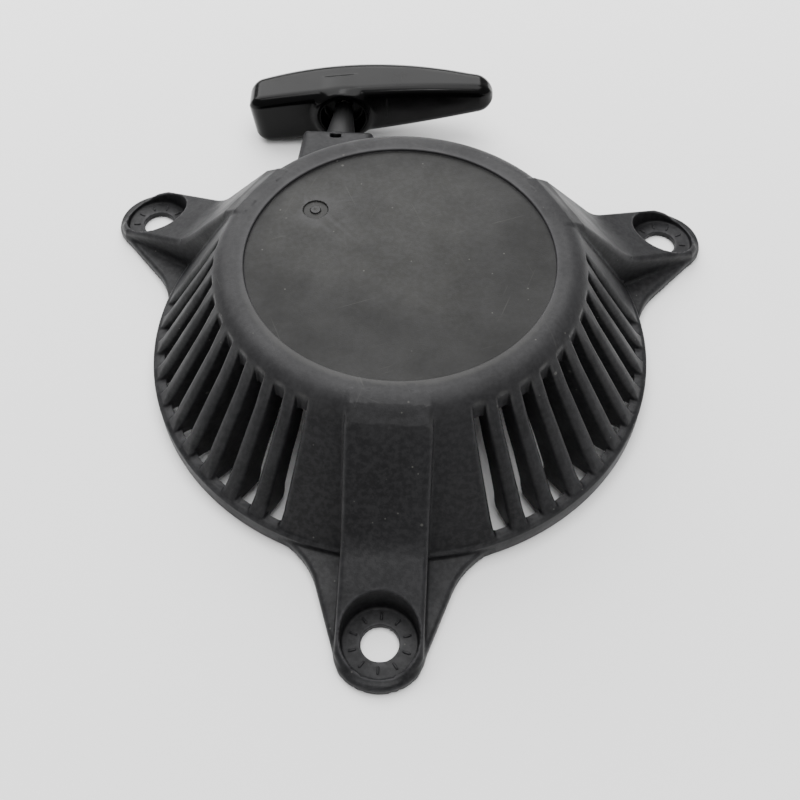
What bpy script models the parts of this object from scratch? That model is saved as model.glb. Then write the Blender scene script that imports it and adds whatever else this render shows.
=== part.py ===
"""Recoil starter for a small engine: a slotted case with three ears, a rope guide, a T grip,
and inside it the pulley, rope, spiral spring, pawls, ratchet guide and centre screw.

The origin is on the pulley's axis, in the plane of the mounting face. +Z points away from the
engine, and the rope leaves towards +Y.
"""

import math

import bmesh
import bpy
from mathutils import Matrix, Vector

MM = 0.001
SHARP_ANGLE = math.radians(35)

# Case, a body of revolution
RIM_R = 75.0
RIM_INNER_R = 72.4
RIM_H = 5.4
WALL = 2.6
TOP_Z = 42.8
DISC_R = 43.5
DISC_DEPTH = 0.9
SHOULDER_R = 7.3
WALL_FOOT = (73.0, 7.6)
WALL_ANGLE = math.radians(57.6)
FIN_DEPTH = 11.0
FIN_FOOT_Z = 4.0
CEILING_Z = 39.3
TURN_STEPS = 60

# Slots, mirrored left and right of the front ear
SLOTS_A_SIDE = 10
SLOT_FIRST = math.radians(25.4)
SLOT_PITCH = math.radians(7.78)
SLOT_TOP_R = 53.2
SLOT_FOOT_R = 71.6
SLOT_SHARE = 0.5
GATE_MARK_AT = (-25.4, 17.5)
GATE_MARK_R = 3.6
GATE_NUB_R = 1.5

# Ears
EAR_ANGLES = [math.radians(a) for a in (-90, 30, 150)]
HOLE_U = 97.2
HOLE_R = 5.0
EAR_TIP_R = 12.9
EAR_TIP_START = 7.8
EAR_SPREAD = 0.345
EAR_FLARE_U = 82.0
EAR_FLARE_RUN = 18.0
EAR_FLARE_WIDTH = 11.5
WING_ROOT_Z = 4.2
WING_FALL = 0.034
RIB_HALF = 11.4
RIB_CORNER = 0.9
RIB_FOOT_Z = 0.6
RECESS_FLOOR_Z = 2.0
RECESS_R = 10.0
RECESS_TOP_R = 10.7
EAR_CORE_HALF = 8.6
EAR_CORE_END = 84.0

# Rope tower and guide
ROPE_X = -25.0
ROPE_Z = 13.0
ROPE_R = 1.6
TOWER_HALF = 12.0
TOWER_END_Y = 78.3
TOWER_TOP_Z = 20.3
TOWER_WALL = 3.0
TOWER_CORE_HALF = 9.0
GUIDE_BORE_R = 2.1
GUIDE_TIP_Y = 98.0

# The sliding pieces' origin, on the rope's straight line at the tower's front
ROPE_ORIGIN = (ROPE_X, TOWER_END_Y, ROPE_Z)

# Grip, in its own frame: a along the bar, d away from the case, h upwards
GRIP_MOUTH_Y = 92.6
GRIP_ROLL = math.radians(-7.2)
GRIP_YAW = math.radians(3.0)
GRIP_LEFT = -33.0
GRIP_RIGHT = 53.0
GRIP_FACE_D = 0.5
GRIP_SIDES = 24
BOSS_R = 9.8
BOSS_BORE_R = 7.9
BOSS_BORE_DEPTH = 6.2
KNOT_POCKET_R = 5.6
KNOT_POCKET_D = 12.0
ROPE_HOLE_R = 2.4
WASHER_D = (12.6, 13.5)

# Each of the bar's long edges is a bow: where its middle is, the value there, and how fast it
# bends to the left and to the right of it
GRIP_TOP = (-8.0, 10.0, -0.0010, -0.00145)
GRIP_FOOT = (-14.0, -9.4, 0.0011, 0.00101)
GRIP_BACK = (-2.0, 20.2, -0.0036, -0.0029)
GRIP_FRONT_POWER = 0.46
GRIP_BACK_POWER = 0.66
GRIP_SIDE_POWER = 0.56

# Pulley and rope coil
COIL_OUTER_R = 31.0
COIL_PITCH = 3.6
COIL_TURNS = 4.3
COIL_STEPS = 26
PULLEY_R = 35.5
GROOVE_HALF = 2.1
FLANGE_T = 1.8
GROOVE_CORE_R = 13.4
HUB_R = 12.0
HUB_TOP_Z = 33.5
POST_R = 7.0
POST_FOOT_Z = 8.4
RUNNING_GAP = 0.1

# Spring
SPRING_RING_R = 34.0
SPRING_RING_FOOT_Z = 21.3
SPRING_Z = (22.0, 30.0)
SPRING_OUTER_R = 30.9
SPRING_INNER_R = 14.2
SPRING_TURNS = 6
SPRING_STEPS = 26
SPRING_T = 0.5
COVER_SCREW_R = 38.2
COVER_SCREW_ANGLES = [math.radians(a) for a in (90, 210, 330)]

# Pawls and ratchet guide
PAWL_PIVOT_R = 19.0
PAWL_LENGTH = 13.5
PAWL_Z = (5.3, 7.6)
PAWL_PEG_AT = 5.0
PAWL_PEG_R = 1.2
PAWL_REST = math.radians(-6.0)
PAWL_SWING = math.radians(27.0)
GUIDE_TURN = math.radians(30.0)
GUIDE_PLATE_R = 24.3
GUIDE_PLATE_Z = (3.1, 4.9)

COLOURS = {
    "case_plastic": ((0.040, 0.040, 0.042), 0.62, 0.0),
    "guide_plastic": ((0.045, 0.045, 0.046), 0.55, 0.0),
    "grip_plastic": ((0.012, 0.012, 0.013), 0.22, 0.0),
    "pulley_plastic": ((0.070, 0.070, 0.072), 0.55, 0.0),
    "rope_nylon": ((0.62, 0.61, 0.57), 0.9, 0.0),
    "spring_steel": ((0.38, 0.39, 0.42), 0.32, 1.0),
    "zinc_steel": ((0.62, 0.60, 0.52), 0.35, 1.0),
    "pawl_steel": ((0.30, 0.29, 0.28), 0.45, 1.0),
}


def clear_scene():
    for obj in list(bpy.data.objects):
        bpy.data.objects.remove(obj, do_unlink=True)


def material(name):
    found = bpy.data.materials.get(name)
    if found:
        return found
    colour, roughness, metallic = COLOURS[name]
    made = bpy.data.materials.new(name)
    made.use_nodes = True
    shader = made.node_tree.nodes["Principled BSDF"]
    shader.inputs["Base Color"].default_value = (*colour, 1.0)
    shader.inputs["Roughness"].default_value = roughness
    shader.inputs["Metallic"].default_value = metallic
    made.diffuse_color = (*colour, 1.0)
    return made


def place(name, bm, finish=None, smooth=False, origin=(0, 0, 0)):
    """Makes the object of a bmesh in millimetres: a part if it has a finish, otherwise a cutter."""
    shift = Vector(origin)
    bmesh.ops.translate(bm, vec=-shift, verts=bm.verts)
    bmesh.ops.scale(bm, vec=(MM, MM, MM), verts=bm.verts)
    bmesh.ops.recalc_face_normals(bm, faces=bm.faces)
    mesh = bpy.data.meshes.new(name)
    bm.to_mesh(mesh)
    bm.free()
    if smooth:
        mesh.shade_smooth()
        mesh.set_sharp_from_angle(angle=SHARP_ANGLE)
    obj = bpy.data.objects.new(name, mesh)
    obj.location = shift * MM
    bpy.context.scene.collection.objects.link(obj)
    if finish:
        mesh.materials.append(material(finish))
    else:
        obj.hide_render = True
        obj.display_type = "WIRE"
    return obj


def boolean(obj, cutter, operation, solver="EXACT"):
    step = obj.modifiers.new(cutter.name, "BOOLEAN")
    step.operation = operation
    step.solver = solver
    step.object = cutter


def add_loft(bm, loops):
    """A closed solid through loops of points that each hold the same number of corners."""
    rings = [[bm.verts.new(point) for point in loop] for loop in loops]
    for first, second in zip(rings, rings[1:]):
        for i, corner in enumerate(first):
            j = (i + 1) % len(first)
            bm.faces.new((corner, first[j], second[j], second[i]))
    bm.faces.new(rings[0])
    bm.faces.new(rings[-1])


def turned(bm, profile, steps=TURN_STEPS, centre=(0, 0), start=0.0, sweep=2 * math.pi):
    """Turns a closed (r, z) outline about Z. A sweep under a full turn gets flat ends."""
    whole = sweep > 2 * math.pi - 1e-6
    count = steps if whole else steps + 1
    angles = [start + sweep * i / steps for i in range(count)]

    def ring_of(angle):
        made = []
        for r, z in profile:
            x = centre[0] + r * math.cos(angle)
            y = centre[1] + r * math.sin(angle)
            made.append(bm.verts.new((x, y, z)))
        return made

    rings = [ring_of(angle) for angle in angles]
    if whole:
        rings.append(rings[0])
    for first, second in zip(rings, rings[1:]):
        for i, corner in enumerate(first):
            j = (i + 1) % len(first)
            bm.faces.new((corner, first[j], second[j], second[i]))
    if not whole:
        bm.faces.new(rings[0])
        bm.faces.new(rings[-1])
    bmesh.ops.remove_doubles(bm, verts=bm.verts, dist=1e-4)


def disc_profile(r, z0, z1, r_top=None):
    return [(0, z0), (r, z0), (r if r_top is None else r_top, z1), (0, z1)]


def ring_profile(r0, r1, z0, z1):
    return [(r0, z0), (r1, z0), (r1, z1), (r0, z1)]


def polar(r, angle):
    return Vector((r * math.cos(angle), r * math.sin(angle), 0))


def arc(centre, r, start, end, steps):
    """Points of an arc in a plane, both ends included."""
    turns = [start + (end - start) * i / steps for i in range(steps + 1)]
    return [(centre[0] + r * math.cos(t), centre[1] + r * math.sin(t)) for t in turns]


def prism(bm, outline, z0, z1):
    add_loft(bm, [[(x, y, z0) for x, y in outline], [(x, y, z1) for x, y in outline]])


def cylinder(bm, x, y, r, z0, z1, steps=32):
    prism(bm, arc((x, y), r, 0, 2 * math.pi * (steps - 1) / steps, steps - 1), z0, z1)


# --------------------------------------------------------------------------- case


def case_profile():
    """Outline of the case's outside: rim band, slotted wall, shoulder, ring and sunk disc."""
    meet = WALL_FOOT[0] - (TOP_Z - WALL_FOOT[1]) / math.tan(WALL_ANGLE)
    tangent = SHOULDER_R * math.tan(WALL_ANGLE / 2)
    centre = (meet - tangent, TOP_Z - SHOULDER_R)
    shoulder = arc(centre, SHOULDER_R, math.pi / 2 - WALL_ANGLE, math.pi / 2, 5)
    rim = [(RIM_R, 0), (RIM_R, RIM_H), (RIM_R - 0.5, RIM_H + 0.8), WALL_FOOT]
    disc = [(DISC_R, TOP_Z), (DISC_R - 0.2, TOP_Z - DISC_DEPTH), (0, TOP_Z - DISC_DEPTH)]
    return [(0, 0), *rim, *shoulder, *disc]


def wall_r(z, inset=0.0):
    """Radius of the slotted wall's outside at a height, less an inset across the wall."""
    return WALL_FOOT[0] - (z - WALL_FOOT[1]) / math.tan(WALL_ANGLE) - inset / math.sin(WALL_ANGLE)


def rib_top(u):
    """Height of a rib's back above the mounting face, going out from the shoulder to the tip."""
    stops = [(40.0, 38.0), (50.2, 41.9), (54.6, 38.9), (72.4, 18.6), (76.6, 15.0), (86.8, 10.9), (111.0, 2.2)]
    for (u0, z0), (u1, z1) in zip(stops, stops[1:]):
        if u <= u1:
            return z0 + (z1 - z0) * (u - u0) / (u1 - u0)
    return stops[-1][1]


def tip_half(u, r):
    """Half the width of a round tip of this radius about the bolt hole."""
    return math.sqrt(max(r * r - (u - HOLE_U) ** 2, 0.3))


def rib_half(u):
    return RIB_HALF if u < HOLE_U + 3 else min(RIB_HALF, tip_half(u, EAR_TIP_R - 0.7))


def wing_half(u):
    """Half the width of an ear's foot: a round tip that flares out to meet the rim."""
    if u > HOLE_U + EAR_TIP_START:
        return tip_half(u, EAR_TIP_R)
    straight = RIB_HALF + EAR_SPREAD * (HOLE_U + 4.5 - u)
    flare = max(0.0, (EAR_FLARE_U - u) / EAR_FLARE_RUN)
    return straight + EAR_FLARE_WIDTH * flare**2.2


def rib_section(u, half, top, corner):
    """A cross-section of an ear at u: upright sides with both top corners cut off."""
    outline = [
        (half, RIB_FOOT_Z),
        (half, top - corner),
        (half - corner, top),
        (corner - half, top),
        (-half, top - corner),
        (-half, RIB_FOOT_Z),
    ]
    return [(u, v, z) for v, z in outline]


def ear_matrix(angle):
    return Matrix.Rotation(angle, 4, "Z")


def turned_copy(bm, build, angle):
    """Adds what build makes along +X, turned to an angle about Z."""
    part = bmesh.new()
    build(part)
    bmesh.ops.transform(part, matrix=ear_matrix(angle), verts=part.verts)
    mesh = bpy.data.meshes.new("part")
    part.to_mesh(mesh)
    part.free()
    bm.from_mesh(mesh)
    bpy.data.meshes.remove(mesh)


def add_rib(bm):
    stations = [45.0, 50.2, 54.6, 72.4, 76.6, 86.8, 97.2, 101.0, 103.6, 105.8, 107.4, 108.5, 109.2]
    loops = []
    for u in stations:
        loops.append(rib_section(u, rib_half(u), rib_top(u), RIB_CORNER))
    add_loft(bm, loops)


def add_wing(bm):
    stations = [62.0, 66.0, 69.0, 72.0, 75.0, 78.0, 82.0, 86.0, 92.0, 98.0, 102.0, 105.0, 106.6, 108.4, 109.6, 110.1]
    loops = []
    for u in stations:
        top = WING_ROOT_Z - WING_FALL * max(0.0, u - RIM_R)
        half = wing_half(u)
        outline = [(half, 0), (half - 0.3, top * 0.45), (half - min(2.6, half * 0.5), top)]
        mirrored = [(-v, z) for v, z in reversed(outline)]
        loops.append([(u, v, z) for v, z in outline + mirrored])
    add_loft(bm, loops)


def add_ear_recess(bm):
    profile = [(0, RECESS_FLOOR_Z), (RECESS_R, RECESS_FLOOR_Z), (RECESS_TOP_R, 14.0), (RECESS_TOP_R, 26.0), (0, 26.0)]
    turned(bm, profile, 28, centre=(HOLE_U, 0))


def add_ear_core(bm):
    loops = []
    for u in (40.0, 54.6, 72.4, EAR_CORE_END):
        loops.append(rib_section(u, EAR_CORE_HALF, rib_top(u) - WALL - 0.6, 1.0))
    add_loft(bm, [[(x, y, z if z > RIB_FOOT_Z else -2.0) for x, y, z in loop] for loop in loops])


def ears(name, build):
    bm = bmesh.new()
    for angle in EAR_ANGLES:
        turned_copy(bm, build, angle)
    return place(name, bm)


def hole_cutter():
    bm = bmesh.new()
    for angle in EAR_ANGLES:
        at = polar(HOLE_U, angle)
        cylinder(bm, at.x, at.y, HOLE_R, -2.0, 4.0, 24)
    return place("cut_ear_holes", bm)


def cavity_cutter():
    """The room inside, with the blades' inner edges on a line parallel to the wall."""
    foot_r = wall_r(9.0) - FIN_DEPTH
    top_r = wall_r(CEILING_Z) - FIN_DEPTH + 3.0
    profile = [
        (0, -2.0),
        (RIM_INNER_R, -2.0),
        (RIM_INNER_R, FIN_FOOT_Z),
        (foot_r, FIN_FOOT_Z),
        (foot_r, 9.0),
        (top_r, CEILING_Z),
        (0, CEILING_Z),
    ]
    bm = bmesh.new()
    turned(bm, profile)
    return place("cut_cavity", bm)


def plain_wall_cutter():
    """Thins the wall where it has no slots: behind the front rib and round the back."""
    top = CEILING_Z - 0.3
    edge = RIM_INNER_R - 2.0
    profile = [(30.0, 1.0), (edge, 1.0), (edge, 5.2), (wall_r(9.0, WALL), 9.0), (wall_r(top, WALL), top), (30.0, top)]
    bm = bmesh.new()
    front = SLOT_FIRST - math.radians(4.2)
    turned(bm, profile, 8, start=-math.pi / 2 - front, sweep=2 * front)
    back = math.pi - SLOT_FIRST - SLOT_PITCH * (SLOTS_A_SIDE - 1) - math.radians(4.2)
    turned(bm, profile, 36, start=math.pi / 2 - back, sweep=2 * back)
    return place("cut_plain_wall", bm)


def slot_angles():
    sides = []
    for side in (-1, 1):
        for k in range(SLOTS_A_SIDE):
            sides.append(-math.pi / 2 + side * (SLOT_FIRST + SLOT_PITCH * k))
    return sides


def slot_cutter():
    bm = bmesh.new()
    half = SLOT_PITCH * SLOT_SHARE / 2

    def add_slot(part):
        loops = []
        for r in (SLOT_TOP_R - 0.9, SLOT_TOP_R, SLOT_FOOT_R - 1.2, SLOT_FOOT_R):
            rounded = r in (SLOT_TOP_R - 0.9, SLOT_FOOT_R)
            v = r * math.tan(half) * (0.6 if rounded else 1.0)
            low = FIN_FOOT_Z - 1.0
            loops.append([(r, -v, low), (r, v, low), (r, v, 44.0), (r, -v, 44.0)])
        inner = SLOT_TOP_R - 10.7
        v = SLOT_TOP_R * math.tan(half)
        loops.insert(0, [(inner, -v, low), (inner, v, low), (inner, v, 30.0), (inner, -v, 30.0)])
        step = SLOT_TOP_R - 0.95
        loops.insert(1, [(step, -v, low), (step, v, low), (step, v, 34.5), (step, -v, 34.5)])
        add_loft(part, loops)

    for angle in slot_angles():
        turned_copy(bm, add_slot, angle)
    return place("cut_slots", bm)


def tower_section(y, half, top, corner=3.2):
    x0, x1 = ROPE_X - half, ROPE_X + half
    right = arc((x1 - corner, top - corner), corner, 0, math.pi / 2, 4)
    left = arc((x0 + corner, top - corner), corner, math.pi / 2, math.pi, 4)
    return [(x, y, z) for x, z in [(x0, 0), (x1, 0), *right, *left]]


def tower_body():
    bm = bmesh.new()
    rounding = [(TOWER_END_Y, 1.4), (TOWER_END_Y - 0.5, 0.5), (TOWER_END_Y - 1.4, 0.0)]
    loops = [tower_section(y, TOWER_HALF - inset, TOWER_TOP_Z - inset) for y, inset in rounding]
    loops.append(tower_section(48.0, TOWER_HALF + 0.8, TOWER_TOP_Z + 3.0))
    add_loft(bm, loops)
    return place("add_tower", bm)


def tower_core():
    bm = bmesh.new()
    top = TOWER_TOP_Z - 2.4
    x0, x1 = ROPE_X - TOWER_CORE_HALF, ROPE_X + TOWER_CORE_HALF
    end = TOWER_END_Y - TOWER_WALL
    prism(bm, [(x0, 36.0), (x1, 36.0), (x1, end), (x0, end)], -2.0, top)
    return place("cut_tower_core", bm)


def along_rope(bm, profile, steps=28):
    """Turns an (r, y) outline about the rope's straight line."""
    turned(bm, profile, steps)
    lie_down = Matrix.Rotation(-math.pi / 2, 4, "X")
    move = Matrix.Translation((ROPE_X, 0, ROPE_Z))
    bmesh.ops.transform(bm, matrix=move @ lie_down, verts=bm.verts)


def guide_hole_cutter():
    bm = bmesh.new()
    along_rope(bm, disc_profile(4.4, TOWER_END_Y - 8, TOWER_END_Y + 4))
    return place("cut_guide_hole", bm)


def roof_slot_cutter():
    bm = bmesh.new()
    x, y = ROPE_X - 0.6, 75.0 - 1.6
    prism(bm, [(x - 1.8, y - 1), (x + 1.8, y - 1), (x + 1.8, y + 1), (x - 1.8, y + 1)], 15.0, 24.0)
    return place("cut_roof_slot", bm)


def inside_posts():
    """The centre post, the ring that holds the spring and the three cover bosses."""
    bm = bmesh.new()
    turned(bm, disc_profile(POST_R, POST_FOOT_Z, CEILING_Z + 1.0), 40)
    turned(bm, ring_profile(SPRING_RING_R - 2.2, SPRING_RING_R, SPRING_RING_FOOT_Z, CEILING_Z + 1.0), 48)
    obj = place("add_post_and_ring", bm)
    bosses = bmesh.new()
    for angle in COVER_SCREW_ANGLES:
        at = polar(COVER_SCREW_R, angle)
        cylinder(bosses, at.x, at.y, 3.2, SPRING_RING_FOOT_Z, CEILING_Z + 1.0, 16)
    return obj, place("add_cover_bosses", bosses)


def thread_cutter():
    bm = bmesh.new()
    cylinder(bm, 0, 0, 2.6, 4.0, 25.0, 16)
    for angle in COVER_SCREW_ANGLES:
        at = polar(COVER_SCREW_R, angle)
        cylinder(bm, at.x, at.y, 1.4, 18.0, 30.0, 12)
    return place("cut_threads", bm)


def gate_cutter():
    bm = bmesh.new()
    floor = TOP_Z - DISC_DEPTH
    turned(bm, ring_profile(GATE_NUB_R, GATE_MARK_R, floor - 0.5, floor + 0.5), 24, centre=GATE_MARK_AT)
    return place("cut_gate_mark", bm)


def case():
    bm = bmesh.new()
    turned(bm, case_profile())
    obj = place("case", bm, "case_plastic", smooth=True)
    post, bosses = inside_posts()
    steps = [
        (ears("add_ribs", add_rib), "UNION"),
        (ears("add_wings", add_wing), "UNION"),
        (tower_body(), "UNION"),
        (cavity_cutter(), "DIFFERENCE"),
        (plain_wall_cutter(), "DIFFERENCE"),
        (ears("cut_ear_cores", add_ear_core), "DIFFERENCE"),
        (tower_core(), "DIFFERENCE"),
        (post, "UNION"),
        (bosses, "UNION"),
        (slot_cutter(), "DIFFERENCE"),
        (ears("cut_recesses", add_ear_recess), "DIFFERENCE"),
        (hole_cutter(), "DIFFERENCE"),
        (guide_hole_cutter(), "DIFFERENCE"),
        (roof_slot_cutter(), "DIFFERENCE"),
        (thread_cutter(), "DIFFERENCE"),
        (gate_cutter(), "DIFFERENCE"),
    ]
    # So many steps leave open edges under EXACT, so these use the solver that keeps a mesh closed.
    for cutter, operation in steps:
        boolean(obj, cutter, operation, "MANIFOLD")
    return obj


# --------------------------------------------------------------------------- guide and grip


def rope_guide():
    """A snap-in bush: a collar inside the tower's wall, a neck through it and a tapered nose."""
    inside = TOWER_END_Y - TOWER_WALL
    profile = [
        (GUIDE_BORE_R + 0.7, inside - 2.0),
        (4.6, inside - 2.0),
        (4.6, inside - 0.3),
        (4.1, inside - 0.3),
        (4.1, TOWER_END_Y + 0.3),
        (5.6, TOWER_END_Y + 0.3),
        (5.5, TOWER_END_Y + 1.6),
        (3.1, GUIDE_TIP_Y - 1.2),
        (2.8, GUIDE_TIP_Y - 0.3),
        (GUIDE_BORE_R, GUIDE_TIP_Y),
        (GUIDE_BORE_R, inside - 1.3),
    ]
    bm = bmesh.new()
    along_rope(bm, profile)
    return place("rope_guide", bm, "guide_plastic", smooth=True)


def grip_matrix():
    """Stands the grip's own frame at its mouth: rolled about the rope and turned a little."""
    turn = Matrix.Rotation(GRIP_YAW, 4, "Z") @ Matrix.Rotation(GRIP_ROLL, 4, "Y")
    return Matrix.Translation((ROPE_X, GRIP_MOUTH_Y, ROPE_Z)) @ turn


def bow(edge, a):
    """Value of one of the bar's long edges: its middle value plus a bend times the distance squared."""
    middle, value, left, right = edge
    return value + (left if a < middle else right) * (a - middle) ** 2


def grip_section(a, shrink):
    """A cross-section of the bar: square at the front face, rounder at the back."""
    top = bow(GRIP_TOP, a)
    foot = bow(GRIP_FOOT, a)
    back = bow(GRIP_BACK, a)
    middle = (top + foot) / 2
    half = (top - foot) / 2 * shrink
    depth = (back - GRIP_FACE_D) / 2
    centre = GRIP_FACE_D + depth
    loop = []
    for i in range(GRIP_SIDES):
        t = 2 * math.pi * i / GRIP_SIDES
        c, s = math.cos(t), math.sin(t)
        power = GRIP_BACK_POWER if c > 0 else GRIP_FRONT_POWER
        d = centre + depth * shrink * math.copysign(abs(c) ** power, c)
        h = middle + half * math.copysign(abs(s) ** GRIP_SIDE_POWER, s)
        loop.append((a, d, h))
    return loop


def grip():
    bm = bmesh.new()
    ends = [(0.0, 0.46), (1.1, 0.72), (3.0, 0.9), (6.0, 1.0)]
    loops = [grip_section(GRIP_LEFT + step, shrink) for step, shrink in ends]
    for a in (-20.0, -10.0, 0.0, 8.0, 16.0, 24.0, 32.0, 40.0):
        loops.append(grip_section(a, 1.0))
    for step, shrink in reversed(ends):
        loops.append(grip_section(GRIP_RIGHT - step, shrink))
    add_loft(bm, loops)
    bmesh.ops.transform(bm, matrix=grip_matrix(), verts=bm.verts)
    obj = place("grip", bm, "grip_plastic", smooth=True, origin=ROPE_ORIGIN)

    def rounded(name, profile, steps=40):
        part = bmesh.new()
        turned(part, profile, steps)
        lie_down = Matrix.Rotation(-math.pi / 2, 4, "X")
        bmesh.ops.transform(part, matrix=grip_matrix() @ lie_down, verts=part.verts)
        return place(name, part)

    boss = rounded("add_boss", [(0, 0.0), (BOSS_R - 0.5, 0.0), (BOSS_R, 0.5), (BOSS_R, 9.0), (0, 9.0)])
    boolean(obj, boss, "UNION")
    boolean(obj, rounded("cut_mouth", disc_profile(BOSS_BORE_R, -2.0, BOSS_BORE_DEPTH, BOSS_BORE_R - 0.5)), "DIFFERENCE")
    boolean(obj, rounded("cut_rope_hole", disc_profile(ROPE_HOLE_R, 2.0, 16.0), 24), "DIFFERENCE")
    boolean(obj, rounded("cut_knot_pocket", disc_profile(KNOT_POCKET_R, KNOT_POCKET_D, 26.0), 32), "DIFFERENCE")
    return obj


def along_grip(name, profile, finish, steps=32):
    bm = bmesh.new()
    turned(bm, profile, steps)
    lie_down = Matrix.Rotation(-math.pi / 2, 4, "X")
    move = Matrix.Translation((ROPE_X, GRIP_MOUTH_Y, ROPE_Z))
    bmesh.ops.transform(bm, matrix=move @ lie_down, verts=bm.verts)
    return place(name, bm, finish, smooth=True, origin=ROPE_ORIGIN)


def knot_washer():
    return along_grip("knot_washer", ring_profile(2.0, 4.6, *WASHER_D), "zinc_steel")


def grip_knot():
    """The rope's end knot, behind its washer in the grip's pocket."""
    outline = [(0, 0.3), (1.9, 0.4), (3.3, 1.1), (3.7, 2.2), (3.2, 3.3), (1.9, 3.8), (0, 3.9)]
    profile = [(r, WASHER_D[1] + d) for r, d in outline]
    return along_grip("grip_knot", profile, "rope_nylon", 20)


# --------------------------------------------------------------------------- rope and pulley


def rope_tangent():
    """Where the rope leaves the coil, on its way to the guide's inner mouth."""
    mouth = Vector((ROPE_X, TOWER_END_Y - 6.0, 0))
    reach = mouth.length
    lean = math.acos(COIL_OUTER_R / reach)
    angle = math.atan2(mouth.y, mouth.x) + lean
    return polar(COIL_OUTER_R, angle), angle, mouth


def rope_tube(name, points, origin=(0, 0, 0)):
    shift = Vector(origin) * MM
    curve = bpy.data.curves.new(name, "CURVE")
    curve.dimensions = "3D"
    curve.bevel_depth = ROPE_R * MM
    curve.bevel_resolution = 2
    curve.use_fill_caps = True
    spline = curve.splines.new("POLY")
    spline.points.add(len(points) - 1)
    for point, (x, y, z) in zip(spline.points, points):
        point.co = (x * MM - shift.x, y * MM - shift.y, z * MM - shift.z, 1.0)
    curve.materials.append(material("rope_nylon"))
    obj = bpy.data.objects.new(name, curve)
    obj.location = shift
    bpy.context.scene.collection.objects.link(obj)
    return obj


def rope_lead():
    """The straight stretch of rope: off the coil, through the guide and into the grip."""
    leave, _, mouth = rope_tangent()
    run = (mouth - leave).normalized()
    points = [leave + run * 0.4 + (mouth - leave - run * 0.4) * i / 8 for i in range(8)]
    route = [(p.x, p.y, ROPE_Z) for p in points]
    bend = [(mouth.x - 0.28, mouth.y - 3.4), (mouth.x - 0.06, mouth.y - 0.6), (mouth.x, mouth.y + 2.0)]
    route = route[:-1] + [(x, y, ROPE_Z) for x, y in bend]
    end = GRIP_MOUTH_Y + WASHER_D[1]
    start = mouth.y + 5.0
    route += [(ROPE_X, start + (end - start) * i / 8, ROPE_Z) for i in range(9)]
    return rope_tube("rope_lead", route, ROPE_ORIGIN)


def rope_coil():
    """The wound rope: a flat spiral in the pulley's groove, its outer turn at the tangent point."""
    _, angle, _ = rope_tangent()
    gap = 0.3 / COIL_OUTER_R
    total = COIL_TURNS * 2 * math.pi
    count = int(COIL_TURNS * COIL_STEPS)
    route = []
    for i in range(count + 1):
        swept = total * i / count
        at = polar(COIL_OUTER_R - COIL_PITCH * swept / (2 * math.pi), angle + gap + swept)
        route.append((at.x, at.y, ROPE_Z))
    return rope_tube("rope_coil", route)


def coil_end():
    _, angle, _ = rope_tangent()
    return angle + COIL_TURNS * 2 * math.pi, COIL_OUTER_R - COIL_PITCH * COIL_TURNS


def pulley():
    lower = ROPE_Z - GROOVE_HALF - FLANGE_T
    upper = ROPE_Z + GROOVE_HALF + FLANGE_T
    bore = POST_R + RUNNING_GAP
    edge = PULLEY_R - 0.8
    foot = POST_FOOT_Z
    profile = [
        (bore, foot),
        (HUB_R - 1.5, foot),
        (HUB_R - 1.5, lower),
        (edge, lower),
        (PULLEY_R, lower + 0.6),
        (PULLEY_R - 0.6, ROPE_Z - GROOVE_HALF),
        (GROOVE_CORE_R, ROPE_Z - GROOVE_HALF),
        (GROOVE_CORE_R, ROPE_Z + GROOVE_HALF),
        (PULLEY_R - 0.6, ROPE_Z + GROOVE_HALF),
        (PULLEY_R, upper - 0.6),
        (edge, upper),
        (HUB_R, upper),
        (HUB_R, HUB_TOP_Z),
        (bore, HUB_TOP_Z),
    ]
    bm = bmesh.new()
    turned(bm, profile, 52)
    obj = place("pulley", bm, "pulley_plastic", smooth=True)
    pins = bmesh.new()
    for angle in (0.0, math.pi):
        at = polar(PAWL_PIVOT_R, angle)
        cylinder(pins, at.x, at.y, 2.0, 5.2, lower + 1.0, 20)
    boolean(obj, place("add_pawl_pins", pins), "UNION")
    pocket = bmesh.new()
    turn, r = coil_end()
    at = polar(r - 3.0, turn + 0.42)
    cylinder(pocket, at.x, at.y, 3.0, ROPE_Z - GROOVE_HALF - 0.9, ROPE_Z + GROOVE_HALF + 3.0, 20)
    boolean(obj, place("cut_knot_seat", pocket), "DIFFERENCE")
    hook = bmesh.new()
    prism(hook, [(HUB_R - 2.4, -1.0), (HUB_R + 2, -1.0), (HUB_R + 2, 1.0), (HUB_R - 2.4, 1.0)], 21.5, 36.0)
    boolean(obj, place("cut_spring_hook", hook), "DIFFERENCE")
    return obj


def pulley_knot():
    turn, r = coil_end()
    at = polar(r - 3.0, turn + 0.42)
    profile = [(0, ROPE_Z - 1.9), (1.6, ROPE_Z - 1.8), (2.5, ROPE_Z), (1.6, ROPE_Z + 1.8), (0, ROPE_Z + 1.9)]
    bm = bmesh.new()
    turned(bm, profile, 16, centre=(at.x, at.y))
    return place("pulley_knot", bm, "rope_nylon", smooth=True)


# --------------------------------------------------------------------------- spring


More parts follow.
